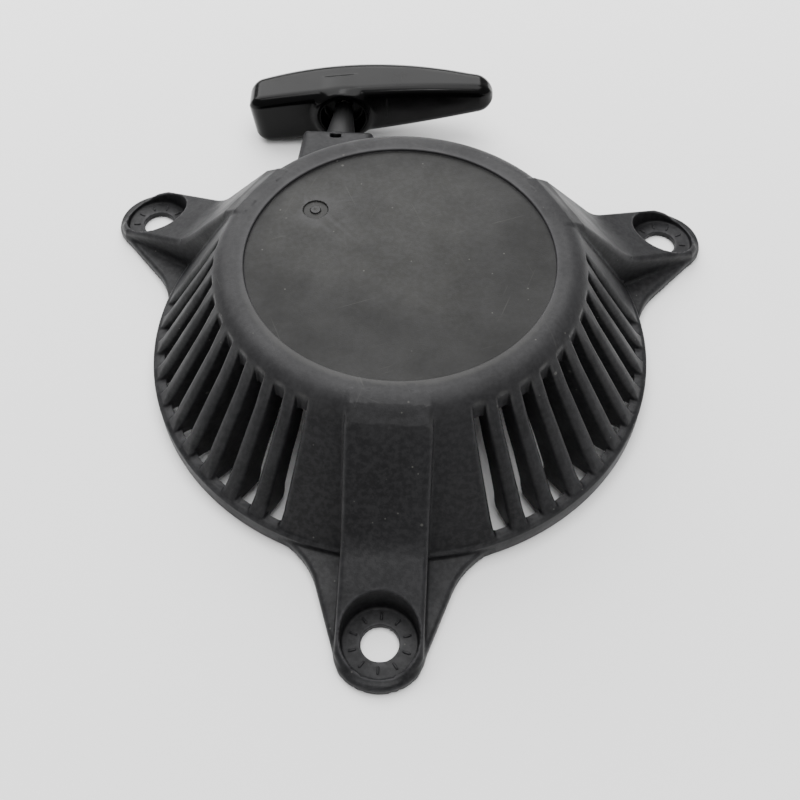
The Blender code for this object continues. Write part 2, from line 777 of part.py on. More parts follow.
def spring():
    """A flat steel strip wound in a spiral, its inner end bent into the hub's notch."""
    count = SPRING_TURNS * SPRING_STEPS
    z0, z1 = SPRING_Z
    bm = bmesh.new()
    loops = []

    def section(at, across):
        near = at - across * SPRING_T / 2
        far = at + across * SPRING_T / 2
        return [(near.x, near.y, z0), (far.x, far.y, z0), (far.x, far.y, z1), (near.x, near.y, z1)]

    hook = [(HUB_R - 1.6, 0.0), (HUB_R - 0.2, 0.05), (SPRING_INNER_R - 0.9, 0.25)]
    for x, y in hook:
        loops.append(section(Vector((x, y, 0)), Vector((0, -1, 0))))
    for i in range(count + 1):
        swept = 2 * math.pi * SPRING_TURNS * i / count
        angle = swept + 0.12
        r = SPRING_INNER_R + (SPRING_OUTER_R - SPRING_INNER_R) * i / count
        loops.append(section(polar(r, angle), polar(1.0, angle)))
    add_loft(bm, loops)
    return place("recoil_spring", bm, "spring_steel")


def spring_cover():
    z0, z1 = SPRING_RING_FOOT_Z - 1.5, SPRING_RING_FOOT_Z - 0.3
    bm = bmesh.new()
    turned(bm, ring_profile(HUB_R + 0.8, SPRING_RING_R, z0, z1), 48)
    obj = place("spring_cover", bm, "zinc_steel")
    lugs = bmesh.new()
    holes = bmesh.new()
    for angle in COVER_SCREW_ANGLES:
        at = polar(COVER_SCREW_R, angle)
        neck = polar(SPRING_RING_R - 2.5, angle)
        side = polar(3.4, angle + math.pi / 2)
        tip = arc((at.x, at.y), 3.4, angle - math.pi / 2, angle + math.pi / 2, 10)
        root = [((neck + side).x, (neck + side).y), ((neck - side).x, (neck - side).y)]
        prism(lugs, tip + root, z0 + 0.1, z1 - 0.1)
        cylinder(holes, at.x, at.y, 1.7, z0 - 1, z1 + 1, 16)
    merged = place("add_cover_lugs", lugs)
    boolean(obj, merged, "UNION", "MANIFOLD")
    boolean(obj, place("cut_cover_holes", holes), "DIFFERENCE", "MANIFOLD")
    return obj


def cover_screws():
    z1 = SPRING_RING_FOOT_Z - 1.8
    for k, angle in enumerate(COVER_SCREW_ANGLES):
        at = polar(COVER_SCREW_R, angle)
        profile = [(0, z1 - 1.7), (1.6, z1 - 1.7), (2.4, z1 - 1.1), (2.4, z1), (1.1, z1), (1.1, z1 + 9.0), (0, z1 + 9.0)]
        bm = bmesh.new()
        turned(bm, profile, 20, centre=(at.x, at.y))
        place(f"cover_screw_{k + 1}", bm, "zinc_steel", smooth=True)


# --------------------------------------------------------------------------- pawls and centre


def pawl_points(side):
    """The pivot and the unit direction along the arm at rest, for the pawl on one side."""
    pivot = polar(PAWL_PIVOT_R, side)
    along = polar(1.0, side - math.pi / 2 + PAWL_REST)
    return pivot, along


def pawl(k, side):
    pivot, along = pawl_points(side)
    heading = math.atan2(along.y, along.x)
    back = arc((0, 0), 4.2, math.pi / 2, 3 * math.pi / 2, 8)
    nose = [(4.0, -3.6), (PAWL_LENGTH - 2.5, -1.6), (PAWL_LENGTH, 0.3), (PAWL_LENGTH - 0.4, 2.6), (6.0, 3.4)]
    outline = back + nose
    bm = bmesh.new()
    prism(bm, outline, *PAWL_Z)
    obj = place(f"pawl_{k}", bm, "pawl_steel")
    pegs = bmesh.new()
    cylinder(pegs, PAWL_PEG_AT, 0, PAWL_PEG_R, 3.3, PAWL_Z[0] + 1.0, 14)
    bores = bmesh.new()
    cylinder(bores, 0, 0, 2.15, 2.0, 12.0, 20)
    peg = place(f"add_peg_{k}", pegs)
    bore = place(f"cut_pawl_bore_{k}", bores)
    boolean(obj, peg, "UNION")
    boolean(obj, bore, "DIFFERENCE")
    for piece in (obj, peg, bore):
        piece.location = pivot * MM
        piece.rotation_euler = (0, 0, heading)
    return obj


def pawl_spring(k, side):
    """The pawl's light return spring, a closed coil about its pin, between pawl and pulley."""
    pivot, _ = pawl_points(side)
    bm = bmesh.new()
    turned(bm, ring_profile(2.3, 3.1, PAWL_Z[1] + 0.3, 8.8), 20, centre=(pivot.x, pivot.y))
    return place(f"pawl_spring_{k}", bm, "spring_steel", smooth=True)


def peg_path(side):
    """Where the pawl's peg lies in the ratchet guide as both turn together, step by step."""
    pivot, along = pawl_points(side)
    path = []
    for i in range(9):
        share = i / 8
        arm = Matrix.Rotation(PAWL_SWING * share, 4, "Z") @ (along * PAWL_PEG_AT)
        path.append(Matrix.Rotation(-GUIDE_TURN * share, 4, "Z") @ (pivot + arm))
    return path


def ratchet_guide():
    z0, z1 = GUIDE_PLATE_Z
    bm = bmesh.new()
    turned(bm, ring_profile(3.0, GUIDE_PLATE_R, z0, z1), 48)
    obj = place("ratchet_guide", bm, "pulley_plastic")
    for k, side in enumerate((0.0, math.pi)):
        path = peg_path(side)
        reach = PAWL_PEG_R + 0.45
        run = path[-1] - path[0]
        heading = math.atan2(run.y, run.x)
        outer = [p + polar(reach, heading + math.pi / 2) for p in path]
        inner = [p + polar(reach, heading - math.pi / 2) for p in path]
        start = [path[0] + polar(reach, heading + math.pi / 2 + math.pi * i / 6) for i in range(1, 6)]
        stop = [path[-1] + polar(reach, heading - math.pi / 2 + math.pi * i / 6) for i in range(1, 6)]
        ring = outer[::-1] + start + inner + stop
        slot = bmesh.new()
        prism(slot, [(p.x, p.y) for p in ring], z0 - 1, z1 + 1)
        boolean(obj, place(f"cut_cam_slot_{k + 1}", slot), "DIFFERENCE", "MANIFOLD")
    return obj


def friction_spring():
    bm = bmesh.new()
    turned(bm, ring_profile(5.2, 8.2, GUIDE_PLATE_Z[1] + 0.3, 6.3), 40)
    return place("friction_spring", bm, "spring_steel", smooth=True)


def thrust_washer():
    bm = bmesh.new()
    turned(bm, ring_profile(2.9, 10.5, 6.7, POST_FOOT_Z - 0.3), 40)
    return place("thrust_washer", bm, "zinc_steel")


def centre_screw():
    z0 = 0.6
    head = GUIDE_PLATE_Z[0] - 0.3
    profile = [(0, z0), (5.2, z0), (5.8, z0 + 0.5), (5.8, head), (2.3, head), (2.3, 23.0), (0, 23.0)]
    bm = bmesh.new()
    turned(bm, profile, 36)
    obj = place("centre_screw", bm, "zinc_steel", smooth=True)
    cross = bmesh.new()
    prism(cross, [(-3.0, -0.5), (3.0, -0.5), (3.0, 0.5), (-3.0, 0.5)], -1.0, z0 + 1.2)
    boolean(obj, place("cut_drive_slot", cross), "DIFFERENCE")
    return obj


def main():
    clear_scene()
    bpy.context.scene.unit_settings.scale_length = 1.0
    case()
    rope_guide()
    grip()
    knot_washer()
    grip_knot()
    rope_lead()
    rope_coil()
    pulley()
    pulley_knot()
    spring()
    spring_cover()
    cover_screws()
    for k, side in enumerate((0.0, math.pi), start=1):
        pawl(k, side)
        pawl_spring(k, side)
    ratchet_guide()
    friction_spring()
    thrust_washer()
    centre_screw()


main()
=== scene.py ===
import math

import bmesh
import bpy
import numpy as np
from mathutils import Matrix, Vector


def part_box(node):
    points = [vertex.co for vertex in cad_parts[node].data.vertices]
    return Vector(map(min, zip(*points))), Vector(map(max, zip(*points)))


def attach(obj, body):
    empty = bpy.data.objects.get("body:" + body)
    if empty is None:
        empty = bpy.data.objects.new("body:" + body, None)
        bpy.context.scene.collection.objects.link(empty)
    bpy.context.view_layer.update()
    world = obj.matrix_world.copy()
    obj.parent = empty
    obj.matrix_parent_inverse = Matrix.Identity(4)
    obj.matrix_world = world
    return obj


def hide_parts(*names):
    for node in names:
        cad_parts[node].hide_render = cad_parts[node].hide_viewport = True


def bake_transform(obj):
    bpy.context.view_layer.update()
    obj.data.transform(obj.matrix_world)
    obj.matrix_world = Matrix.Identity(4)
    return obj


bl_info = {
    "name": "Recoil starter",
    "version": (1, 0, 0),
    "blender": (4, 5, 0),
    "location": "3D View > Sidebar > Starter",
    "description": "Builds a small engine's recoil starter piece by piece",
    "category": "Object",
}

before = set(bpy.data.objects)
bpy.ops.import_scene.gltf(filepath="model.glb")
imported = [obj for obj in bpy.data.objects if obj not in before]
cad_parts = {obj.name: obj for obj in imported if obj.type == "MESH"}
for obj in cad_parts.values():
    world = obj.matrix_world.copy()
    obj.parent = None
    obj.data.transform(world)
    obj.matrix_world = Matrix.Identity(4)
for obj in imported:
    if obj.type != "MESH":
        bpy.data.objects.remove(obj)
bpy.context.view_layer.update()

MM = 0.001
TURN = 2 * math.pi
THIRD = TURN / 3
FRONT, BACK = -math.pi / 2, math.pi / 2
SLOTS_A_SIDE = 10
EAR_COUNT = 3

# Millimetres from here on. A line is (u0, z0, u1, z1), with u the distance out from the axis.
WALL_FOOT_R, WALL_FOOT_Z = 73.0, 7.6
BAND_TOP = 6.1
RIB_LINES = (
    (46.6, 42.45, 50.2, 41.85),
    (50.2, 41.9, 54.6, 38.9),
    (54.6, 38.9, 75.8, 14.6),
    (75.8, 14.9, 110.0, 2.9),
)
RIB_KNEE, RIB_SOFT = 75.8, 3.0
RIB_TIP_R, FOOT_TIP_R = 12.2, 12.9
FOOT_TOP, FOOT_FALL = 4.2, 0.034
SEAT_FLOOR = 2.0
CEILING = 39.3
SLOT_FOOT_OPEN = 3.0
FIN_FOOT_R, FIN_FOOT_Z = 61.11, 9.0
TOWER_END, TOWER_HALF, TOWER_CORE_HALF = 78.3, 12.0, 9.0
POST_R, SPRING_RING = 7.0, (31.8, 34.0)
BOSS_CIRCLE, BOSS_R, BOSS_FOOT = 38.2, 3.2, 21.3
GATE_X, GATE_Y, GATE_R = -25.4, 17.5, 3.6
GUIDE_HOLE_R = 4.4
PIN_CIRCLE, PEG_OUT = 19.0, 5.0
PAWL_AT_REST, PAWL_SWING, GUIDE_LAG = math.radians(6.0), math.radians(27.0), math.radians(30.0)


# --------------------------------------------------------------------------- sizes, from the frame


def corners(node):
    """Lowest and highest corner of a CAD node, in millimetres."""
    low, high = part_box(node)
    return np.array(low) / MM, np.array(high) / MM


def middle(node):
    low, high = corners(node)
    return (low + high) / 2


CASE_TOP = corners("case")[1][2]
GUIDE_LOW, GUIDE_HIGH = corners("rope_guide")
PULLEY_LOW, PULLEY_HIGH = corners("pulley")
COVER_LOW, COVER_HIGH = corners("spring_cover")
KNOT_AT = middle("pulley_knot")
ROPE_X, ROPE_Z = middle("rope_guide")[0], middle("rope_guide")[2]
LEAD_HIGH = corners("rope_lead")[1]
ROPE_R = LEAD_HIGH[0] - ROPE_X


# --------------------------------------------------------------------------- what a user can set


def number(name, description, default, **more):
    return bpy.props.FloatProperty(name=name, description=description, default=default, **more)


def angle(name, description, default):
    return number(name, description, default, subtype="ANGLE")


def power(name, description, default):
    return number(name, description, default, unit="POWER")


def tint(name, description, default):
    return bpy.props.FloatVectorProperty(
        name=name, description=description, default=default, subtype="COLOR", size=3, min=0.0, max=1.0
    )


class CaseSizes(bpy.types.PropertyGroup):
    """Millimetres"""

    rim_radius: number("Rim radius", "Outside of the rim band", 75.0)
    disc_radius: number("Disc radius", "Sunk disc on top", 43.5)
    disc_depth: number("Disc depth", "How far the disc is sunk", 0.9)
    shoulder: number("Shoulder", "Radius between ring and wall", 7.3)
    wall_angle: angle("Wall angle", "Slope of the slotted wall", math.radians(57.6))
    wall: number("Wall", "Thickness of the plain wall", 2.6)
    slot_first: angle("First slot", "From the front ear to the first slot", math.radians(25.4))
    slot_pitch: angle("Slot pitch", "From one slot to the next", math.radians(7.78))
    slot_top: number("Slot top", "Radius where the slots start", 52.6)
    slot_foot: number("Slot foot", "Radius where the slots' open feet end", 71.4)
    blade_round: number("Blade edge", "Radius on the blades' edges over the radius they stand at", 0.027)
    bolt_radius: number("Bolt circle", "Radius of the bolt circle", 97.2)
    hole_radius: number("Bolt hole", "Radius of a bolt hole", 5.0)
    seat_radius: number("Bolt seat", "Radius of a sunk bolt seat", 10.0)
    rib_half: number("Rib", "Half the width of an ear's rib", 11.4)
    detail: number("Detail", "Spacing of the net's lines", 0.68)


class GripSizes(bpy.types.PropertyGroup):
    """The grip's own directions: along the bar, away from the case, and upwards"""

    left: number("Left end", "Along the bar from the rope, to the left end", -33.0)
    right: number("Right end", "Along the bar from the rope, to the right end", 53.0)
    mouth_y: number("Mouth", "Where the mouth's front face stands", 92.6)
    face: number("Front face", "How far the bar's face stands behind the mouth", 0.9)
    boss_radius: number("Mouth radius", "Outside of the mouth", 9.8)
    bore_radius: number("Mouth bore", "Inside of the mouth", 7.9)
    roll: angle("Roll", "Turn about the rope", math.radians(-7.2))
    yaw: angle("Yaw", "Turn about the upright", math.radians(3.0))


class RopeSizes(bpy.types.PropertyGroup):
    """Rope and coil, in millimetres"""

    coil_radius: number("Coil radius", "Middle of the rope in the outer turn", 31.0)
    coil_pitch: number("Coil pitch", "From one turn to the next", 3.6)
    coil_turns: number("Coil turns", "How many turns are wound at rest", 4.3)
    lay: number("Lay", "Length of rope in which a yarn goes round once", 9.0)
    pull: number("Pull", "How far the grip can be pulled", 580.0)


class StarterColours(bpy.types.PropertyGroup):
    """Base colours of the finishes"""

    case: tint("Case", "Matte black plastic of the case", (0.0084, 0.0084, 0.0092))
    # Painted sheen: the ring and shoulder painted paler, as where light falls on the top.
    top_sheen: tint("Rubbed case", "The case's ring and shoulder, rubbed paler", (0.0175, 0.0173, 0.0182))
    # The disc's warmer tone is its own; it is painted lighter as well, as where light falls on the top.
    disc: tint("Disc", "The sunk disc on top of the case", (0.0170, 0.0168, 0.0154))
    guide: tint("Guide", "Black plastic of the rope guide", (0.009, 0.009, 0.0093))
    grip: tint("Grip", "Gloss black plastic of the grip", (0.001, 0.001, 0.0011))
    pulley: tint("Pulley", "Dark plastic of the pulley", (0.070, 0.070, 0.072))
    rope: tint("Rope", "Nylon of the rope", (0.62, 0.61, 0.57))
    spring: tint("Spring", "Spring steel", (0.38, 0.39, 0.42))
    zinc: tint("Zinc", "Zinc plated steel", (0.62, 0.60, 0.52))
    pawl: tint("Pawl", "Sintered steel", (0.30, 0.29, 0.28))


class StageSettings(bpy.types.PropertyGroup):
    """Floor, lights and camera"""

    floor: tint("Floor", "Pale floor", (0.94, 0.94, 0.94))
    camera_back: number("Camera back", "How far in front of the axis the camera stands", 204.7)
    camera_up: number("Camera height", "Height of the camera over the mounting face", 260.05)
    camera_turn: angle("Camera turn", "About the axis from straight in front", math.radians(3.06))
    camera_tilt: angle("Camera tilt", "Downwards from level", 0.9508)
    lens: number("Lens", "Focal length", 47.83, unit="CAMERA")
    top_light: power("Top light", "Power of the soft light overhead", 11.0)
    back_light: power("Back light", "Power of the soft light behind", 17.0)
    front_light: power("Front light", "Power of the soft light in front", 0.9)
    room_light: number("Room light", "Strength of the even light all round", 0.5)


class Plain:
    """A property group's values read once, because a field reads them many times."""

    def __init__(self, group):
        for key in type(group).__annotations__:
            setattr(self, key, getattr(group, key))


# --------------------------------------------------------------------------- fields
#
# A solid is a field: a function of x, y and z, in millimetres, that is about the distance to the
# surface, negative inside. Two fields meet in an edge or a corner of a given radius.


def edge(a, b, radius, lean=0.0):
    """Where both solids are: the distance to the corner of the two faces moved in by the radius,
    less the radius, so the edge is round. lean is the cosine of the angle between their normals."""
    a = a + radius
    b = b + radius
    far = np.sqrt(np.maximum(a * a + b * b - 2 * lean * a * b, 0) / (1 - lean * lean))
    return np.where((a > lean * b) & (b > lean * a), far, np.maximum(a, b)) - radius


def join(a, b, radius, lean=0.0):
    """Where either solid is, with a hollow fillet of that radius between them."""
    return -edge(-a, -b, radius, lean)


def cut(a, b, radius):
    """The first solid less the second, with the edge rounded."""
    return edge(a, -b, radius)


def line_height(x, x0, z0, x1, z1):
    """Height of the straight line through two points."""
    return z0 + (z1 - z0) * (x - x0) / (x1 - x0)


def fold_thirds(x, y, heading=FRONT):
    """(u, v) along and across the nearest of three arms, the first of them at the heading: the
    angle from it is folded into one third of a turn."""
    angle = np.mod(np.arctan2(y, x) - heading + THIRD / 2, THIRD) - THIRD / 2
    r = np.hypot(x, y)
    return r * np.cos(angle), r * np.sin(angle)


def from_front(x, y):
    """Angle from the front ear, the same to either side."""
    return np.abs(np.mod(np.arctan2(y, x) + math.pi / 2 + math.pi, TURN) - math.pi)


def rib_back(u):
    """Height of a rib's back: off the shoulder, steeply down along the wall, then out to the tip,
    with a soft hollow where the two slopes meet."""
    ring, shoulder, steep, shallow = (line_height(u, *line) for line in RIB_LINES)
    hollow = 0.25 * np.maximum(RIB_SOFT - np.abs(steep - shallow), 0) ** 2 / RIB_SOFT
    return np.minimum(np.minimum(np.maximum(steep, shallow) + hollow, shoulder), ring)


def ear_field(s, x, y, z):
    """A rib with rounded edges on a wider foot, both with a round tip about the bolt hole."""
    u, v = fold_thirds(x, y)
    side = np.abs(v)
    about_hole = np.hypot(np.maximum(u - s.bolt_radius, 0), side)
    slope = np.where(u < RIB_KNEE, 0.66, 0.94)
    tip = np.where(u > s.bolt_radius, about_hole - RIB_TIP_R, side - s.rib_half)
    rib = edge(np.maximum(side - s.rib_half, tip), (z - rib_back(u)) * slope, 1.5)
    rib = np.maximum(rib, 47.0 - u)
    flare = 11.5 * np.maximum((82.0 - u) / 18.0, 0) ** 2.2
    spread = s.rib_half + 0.345 * (s.bolt_radius + 4.5 - u) + flare
    outline = np.where(u < s.bolt_radius + 7.8, (side - spread) * 0.93, about_hole - FOOT_TIP_R)
    foot_top = FOOT_TOP - FOOT_FALL * np.maximum(u - s.rim_radius, 0)
    foot = np.maximum(edge(outline, z - foot_top, 1.3), 66.0 - u)
    return join(rib, foot, 0.9)


def bolt_seat_field(s, x, y, z):
    """The round recess over each bolt hole, with its floor's corner rounded."""
    u, v = fold_thirds(x, y)
    out = np.hypot(u - s.bolt_radius, v)
    draft = 0.055 * np.maximum(z - SEAT_FLOOR, 0)
    return edge(out - s.seat_radius - draft, SEAT_FLOOR - z, 0.6)


def bolt_hole_field(s, x, y):
    u, v = fold_thirds(x, y)
    return np.hypot(u - s.bolt_radius, v) - s.hole_radius


def wall_distance(s, r, z, inset=0.0):
    """Distance to the slotted cone through the wall's foot, moved in by an inset."""
    return (r - WALL_FOOT_R) * math.sin(s.wall_angle) + (z - WALL_FOOT_Z) * math.cos(s.wall_angle) + inset


def bell_field(s, r, z):
    """A cone and a flat top joined by the shoulder, standing in the rim band."""
    upper = edge(wall_distance(s, r, z), z - CASE_TOP, s.shoulder, math.cos(s.wall_angle))
    upper = np.maximum(upper, r - s.rim_radius + 0.8)
    band = edge(r - s.rim_radius, z - BAND_TOP, 0.7)
    bell = join(upper, band, 0.6)
    disc = np.maximum(r - s.disc_radius, CASE_TOP - s.disc_depth - z)
    return cut(bell, disc, 0.42)


def slot_angle(s, x, y):
    """Angle from the middle of the nearest slot, with the two fans of slots folded into one."""
    away = from_front(x, y)
    k = np.clip(np.round((away - s.slot_first) / s.slot_pitch), 0, SLOTS_A_SIDE - 1)
    return away - s.slot_first - s.slot_pitch * k


def slot_field(s, x, y, r, z):
    """Half a pitch wide all along, with square ends: it stops on the rim band's top, and is open
    downwards inside the band and under the shoulder."""
    side = r * (np.abs(slot_angle(s, x, y)) - s.slot_pitch / 4)
    foot = np.minimum(np.maximum(r - 74.6, 6.35 - z), np.maximum(r - s.slot_foot, SLOT_FOOT_OPEN - z))
    through = edge(side, np.maximum(s.slot_top - r, foot), 0.5)
    under = np.maximum(np.maximum(side, 42.5 - r), np.maximum(r - s.slot_top - 2.0, z - 33.5))
    return np.minimum(through, np.maximum(under, SLOT_FOOT_OPEN - z))


def blade_edge(s, r, z):
    """Radius on the blades' outer edges: nearly half the blade, less at both ends of a slot."""
    start = np.clip((r - s.slot_top + 0.5) / 6.0, 0, 1)
    radius = 0.5 + (s.blade_round * r - 0.5) * start * start * (3 - 2 * start)
    return np.minimum(radius, 0.5 + 0.4 * np.maximum(z - 6.3, 0))


def hollow_field(s, x, y, r, z):
    """The room inside: a low wide part in the rim, and above it a cone on the blades' inner edges
    that goes out to a thin wall where there are no slots."""
    rise, run = 30.3, 16.23
    fins = ((r - FIN_FOOT_R) * rise + (z - FIN_FOOT_Z) * run) / math.hypot(rise, run)
    away = from_front(x, y)
    margin = math.radians(4.2)
    front = s.slot_first - margin
    back = s.slot_first + s.slot_pitch * (SLOTS_A_SIDE - 1) + margin
    sector = r * np.minimum(away - front, back - away)
    plain = edge(wall_distance(s, r, z, s.wall), sector, 1.0)
    low = edge(r - 72.4, z - 4.0, 0.6)
    cone = edge(edge(join(fins, plain, 0.8), r - 70.4, 0.8), z - CEILING, 0.8)
    return join(cone, low, 0.6)


def ear_core_field(s, x, y, z):
    """The hollow under each rib, so that its walls stay thin."""
    u, v = fold_thirds(x, y)
    top = np.minimum(rib_back(u) - 3.6, 37.0)
    return edge(edge(np.abs(v) - 8.6, np.maximum(u - 84.0, 44.0 - u), 1.0), (z - top) * 0.75, 0.8)


def tower_field(x, y, z):
    """The rope tower: a block with a roof that rises towards the case and rounded edges."""
    half = TOWER_HALF + 0.03 * (TOWER_END - y)
    plan = edge(np.abs(x - ROPE_X) - half, y - TOWER_END, 1.5)
    roof = z - line_height(y, TOWER_END, 20.3, 48.0, 23.3)
    return np.maximum(edge(plan, roof, 3.0), 44.0 - y)


def tower_core_field(x, y, z):
    """The hollow in the rope tower, open to the room under the bell."""
    tunnel = edge(np.abs(x - ROPE_X) - TOWER_CORE_HALF, z - 17.9, 1.0)
    return edge(tunnel, np.maximum(y - 75.3, 36.0 - y), 0.8)


def post_field(s, x, y, r, z):
    """The centre post, the ring round the spring and the three cover bosses, all from the ceiling."""
    high = z - CASE_TOP + 2.0
    post = np.maximum(edge(r - POST_R, 8.4 - z, 0.4), high)
    inside, outside = SPRING_RING
    ring = np.maximum(np.maximum(r - outside, inside - r), np.maximum(BOSS_FOOT - z, high))
    u, v = fold_thirds(x, y, BACK)
    boss_r = np.hypot(u - BOSS_CIRCLE, v)
    boss = np.maximum(boss_r - BOSS_R, np.maximum(BOSS_FOOT - z, high))
    solid = np.minimum(np.minimum(post, ring), boss)
    bores = np.minimum(np.maximum(r - 2.6, z - 25.0), np.maximum(boss_r - 1.4, z - 30.0))
    return np.maximum(solid, -bores)


def gate_field(s, x, y, z):
    """The mark the moulding gate leaves in the disc: a shallow round well with a nub in it."""
    out = np.hypot(x - GATE_X, y - GATE_Y)
    floor = CASE_TOP - s.disc_depth - 0.5
    well = edge(out - GATE_R, floor - z, 0.12)
    nub = edge(out - 1.5, z - floor - 0.62, 0.25)
    dimple = np.hypot(out, (z - floor - 0.75) * 1.6) - 0.55
    return np.minimum(np.maximum(well, -nub), np.maximum(dimple, out - 1.4))


def case_field(s, x, y, z):
    """The whole moulding: bell, ears and tower joined with fillets, hollowed, slotted and bored."""
    r = np.hypot(x, y)
    body = join(bell_field(s, r, z), ear_field(s, x, y, z), 0.7)
    body = join(body, tower_field(x, y, z), 1.6)
    body = edge(body, -z, 0.25)
    hollow = np.minimum(hollow_field(s, x, y, r, z), tower_core_field(x, y, z))
    hollow = np.minimum(hollow, ear_core_field(s, x, y, z))
    body = cut(body, hollow, 0.35)
    body = np.minimum(body, post_field(s, x, y, r, z))
    body = cut(body, slot_field(s, x, y, r, z), blade_edge(s, r, z))
    body = cut(body, bolt_seat_field(s, x, y, z), 0.35)
    body = cut(body, gate_field(s, x, y, z), 0.15)
    body = cut(body, bolt_hole_field(s, x, y), 0.3)
    guide_hole = np.maximum(np.hypot(x - ROPE_X, z - ROPE_Z) - GUIDE_HOLE_R, 70.0 - y)
    body = cut(body, guide_hole, 0.25)
    roof_slot = edge(np.abs(x - ROPE_X + 0.6) - 1.8, np.abs(y - 74.4) - 1.1, 0.4)
    return cut(body, np.maximum(roof_slot, 15.0 - z), 0.2)


# --------------------------------------------------------------------------- nets


def net_surface(values, place, wrapped):
    """Points and four-sided faces of the surface where a field on a grid is nought.

    Each cell of the grid that the surface passes through gets one point, the mean of the places
    where the surface crosses its edges. Each crossed edge gets a face through its four cells.
    place turns grid numbers into x, y, z. The second axis may be wrapped into a ring.
    """
    shape = np.array(values.shape)
    inside = values < 0
    cells = shape - 1
    if wrapped:
        cells[1] = shape[1]
    ids, spots, quads = [], [], []
    for axis in range(3):
        if wrapped and axis == 1:
            crossed = inside != np.roll(inside, -1, axis)
        else:
            before, after = [slice(None)] * 3, [slice(None)] * 3
            before[axis], after[axis] = slice(0, -1), slice(1, None)
            crossed = inside[tuple(before)] != inside[tuple(after)]
        at = np.array(np.nonzero(crossed))
        to = at.copy()
        to[axis] = (to[axis] + 1) % shape[axis]
        v0, v1 = values[tuple(at)], values[tuple(to)]
        share = v0 / (v0 - v1)
        number = at.astype(np.float64)
        number[axis] += share
        b, c = (axis + 1) % 3, (axis + 2) % 3
        around = []
        good = np.ones(at.shape[1], bool)
        for db, dc in ((-1, -1), (0, -1), (0, 0), (-1, 0)):
            cell = at.copy()
            cell[b] += db
            cell[c] += dc
            for k in (b, c):
                if wrapped and k == 1:
                    cell[k] %= shape[1]
                good &= (cell[k] >= 0) & (cell[k] < cells[k])
            around.append(cell)
        outward = inside[tuple(at)][good]
        kept = [np.clip(cell[:, good], 0, cells[:, None] - 1) for cell in around]
        numbers = [np.ravel_multi_index(tuple(cell), tuple(cells)) for cell in kept]
        ids += numbers
        spots += [place(number[:, good])] * 4
        quad = np.stack(numbers, 1)
        quads.append(np.where(outward[:, None], quad, quad[:, ::-1]))
    unique, index = np.unique(np.concatenate(ids), return_inverse=True)
    index = index.reshape(-1)
    spots = np.concatenate(spots, 1)
    count = np.bincount(index)
    points = np.stack([np.bincount(index, weights=spots[k]) / count for k in range(3)], 1)
    return points, np.searchsorted(unique, np.concatenate(quads))


def slopes(field, points, step=0.02):
    """The field's gradient at each point, from its values a small step to either side."""
    found = np.empty_like(points)
    for k in range(3):
        shift = np.zeros(3)
        shift[k] = step
        ahead = field(*(points + shift).T)
        found[:, k] = (ahead - field(*(points - shift).T)) / (2 * step)
    return found


def onto_surface(field, points, rounds):
    """Moves each point along the gradient until the field there is nought."""
    for _ in range(rounds):
        slope = slopes(field, points)
        size = np.maximum((slope * slope).sum(1), 0.2)
        step = field(*points.T) / size
        points = points - np.clip(step, -0.35, 0.35)[:, None] * slope
    return points


def bend_of(field, points, reach):
    """How far an edge stands proud: the mean of the field at six places about each point,
    positive on an outer edge and negative in a corner."""
    total = np.zeros(len(points))
    for k in range(3):
        for way in (-reach, reach):
            shift = np.zeros(3)
            shift[k] = way
            total += field(*(points + shift).T)
    return total / 6 / reach


def new_piece(name, points, faces, slot, body, *stands_for):
    """A mesh object from points in millimetres, smooth, in its slot's finish and on its body."""
    mesh = bpy.data.meshes.new(name)
    faces = np.asarray(faces)
    corner = faces.shape[1]
    mesh.vertices.add(len(points))
    mesh.vertices.foreach_set("co", (points * MM).astype(np.float32).ravel())
    mesh.loops.add(faces.size)
    mesh.loops.foreach_set("vertex_index", faces.astype(np.int32).ravel())
    mesh.polygons.add(len(faces))
    mesh.polygons.foreach_set("loop_start", np.arange(0, faces.size, corner, dtype=np.int32))
    mesh.update(calc_edges=True)
    mesh.validate()
    mesh.shade_smooth()
    obj = bpy.data.objects.new(name, mesh)
    bpy.context.scene.collection.objects.link(obj)
    mesh.materials.append(finish_of(slot))
    if body:
        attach(obj, body)
    if stands_for:
        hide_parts(*stands_for)
    return obj


def close_and_thin(obj, most):
    """Fills the small rings left at the axis, and thins flat stretches to a number of triangles."""
    bm = bmesh.new()
    bm.from_mesh(obj.data)
    rings = [e for e in bm.edges if e.is_boundary]
    if rings:
        bmesh.ops.holes_fill(bm, edges=rings, sides=0)
    bmesh.ops.triangulate(bm, faces=bm.faces)
    bm.to_mesh(obj.data)
    bm.free()
    total = len(obj.data.polygons)
    if total > most:
        thin = obj.modifiers.new("thin", "DECIMATE")
        thin.ratio = most / total
        bpy.context.view_layer.update()
        graph = bpy.context.evaluated_depsgraph_get()
        made = bpy.data.meshes.new_from_object(obj.evaluated_get(graph))
        obj.modifiers.clear()
        made.name = obj.data.name
        obj.data = made


def finish_net(obj, field, turn=None):
    """Puts the thinned points back on the surface, takes the shading and how far its edges stand
    proud from it, and stands the piece in its place with turn, if given."""
    mesh = obj.data
    co = np.empty(len(mesh.vertices) * 3, np.float32)
    mesh.vertices.foreach_get("co", co)
    points = co.reshape(-1, 3).astype(np.float64) / MM
    points = onto_surface(field, points, 2)
    slope = slopes(field, points)
    proudness = bend_of(field, points, 0.9)
    if turn is not None:
        slope = turn(points + slope) - turn(points)
        points = turn(points)
    slope /= np.maximum(np.linalg.norm(slope, axis=1, keepdims=True), 1e-9)
    mesh.vertices.foreach_set("co", (points * MM).astype(np.float32).ravel())
    mesh.update()
    mesh.shade_smooth()
    mesh.normals_split_custom_set_from_vertices(slope.tolist())
    give(obj, "edge_wear", np.clip(proudness, -1, 1))


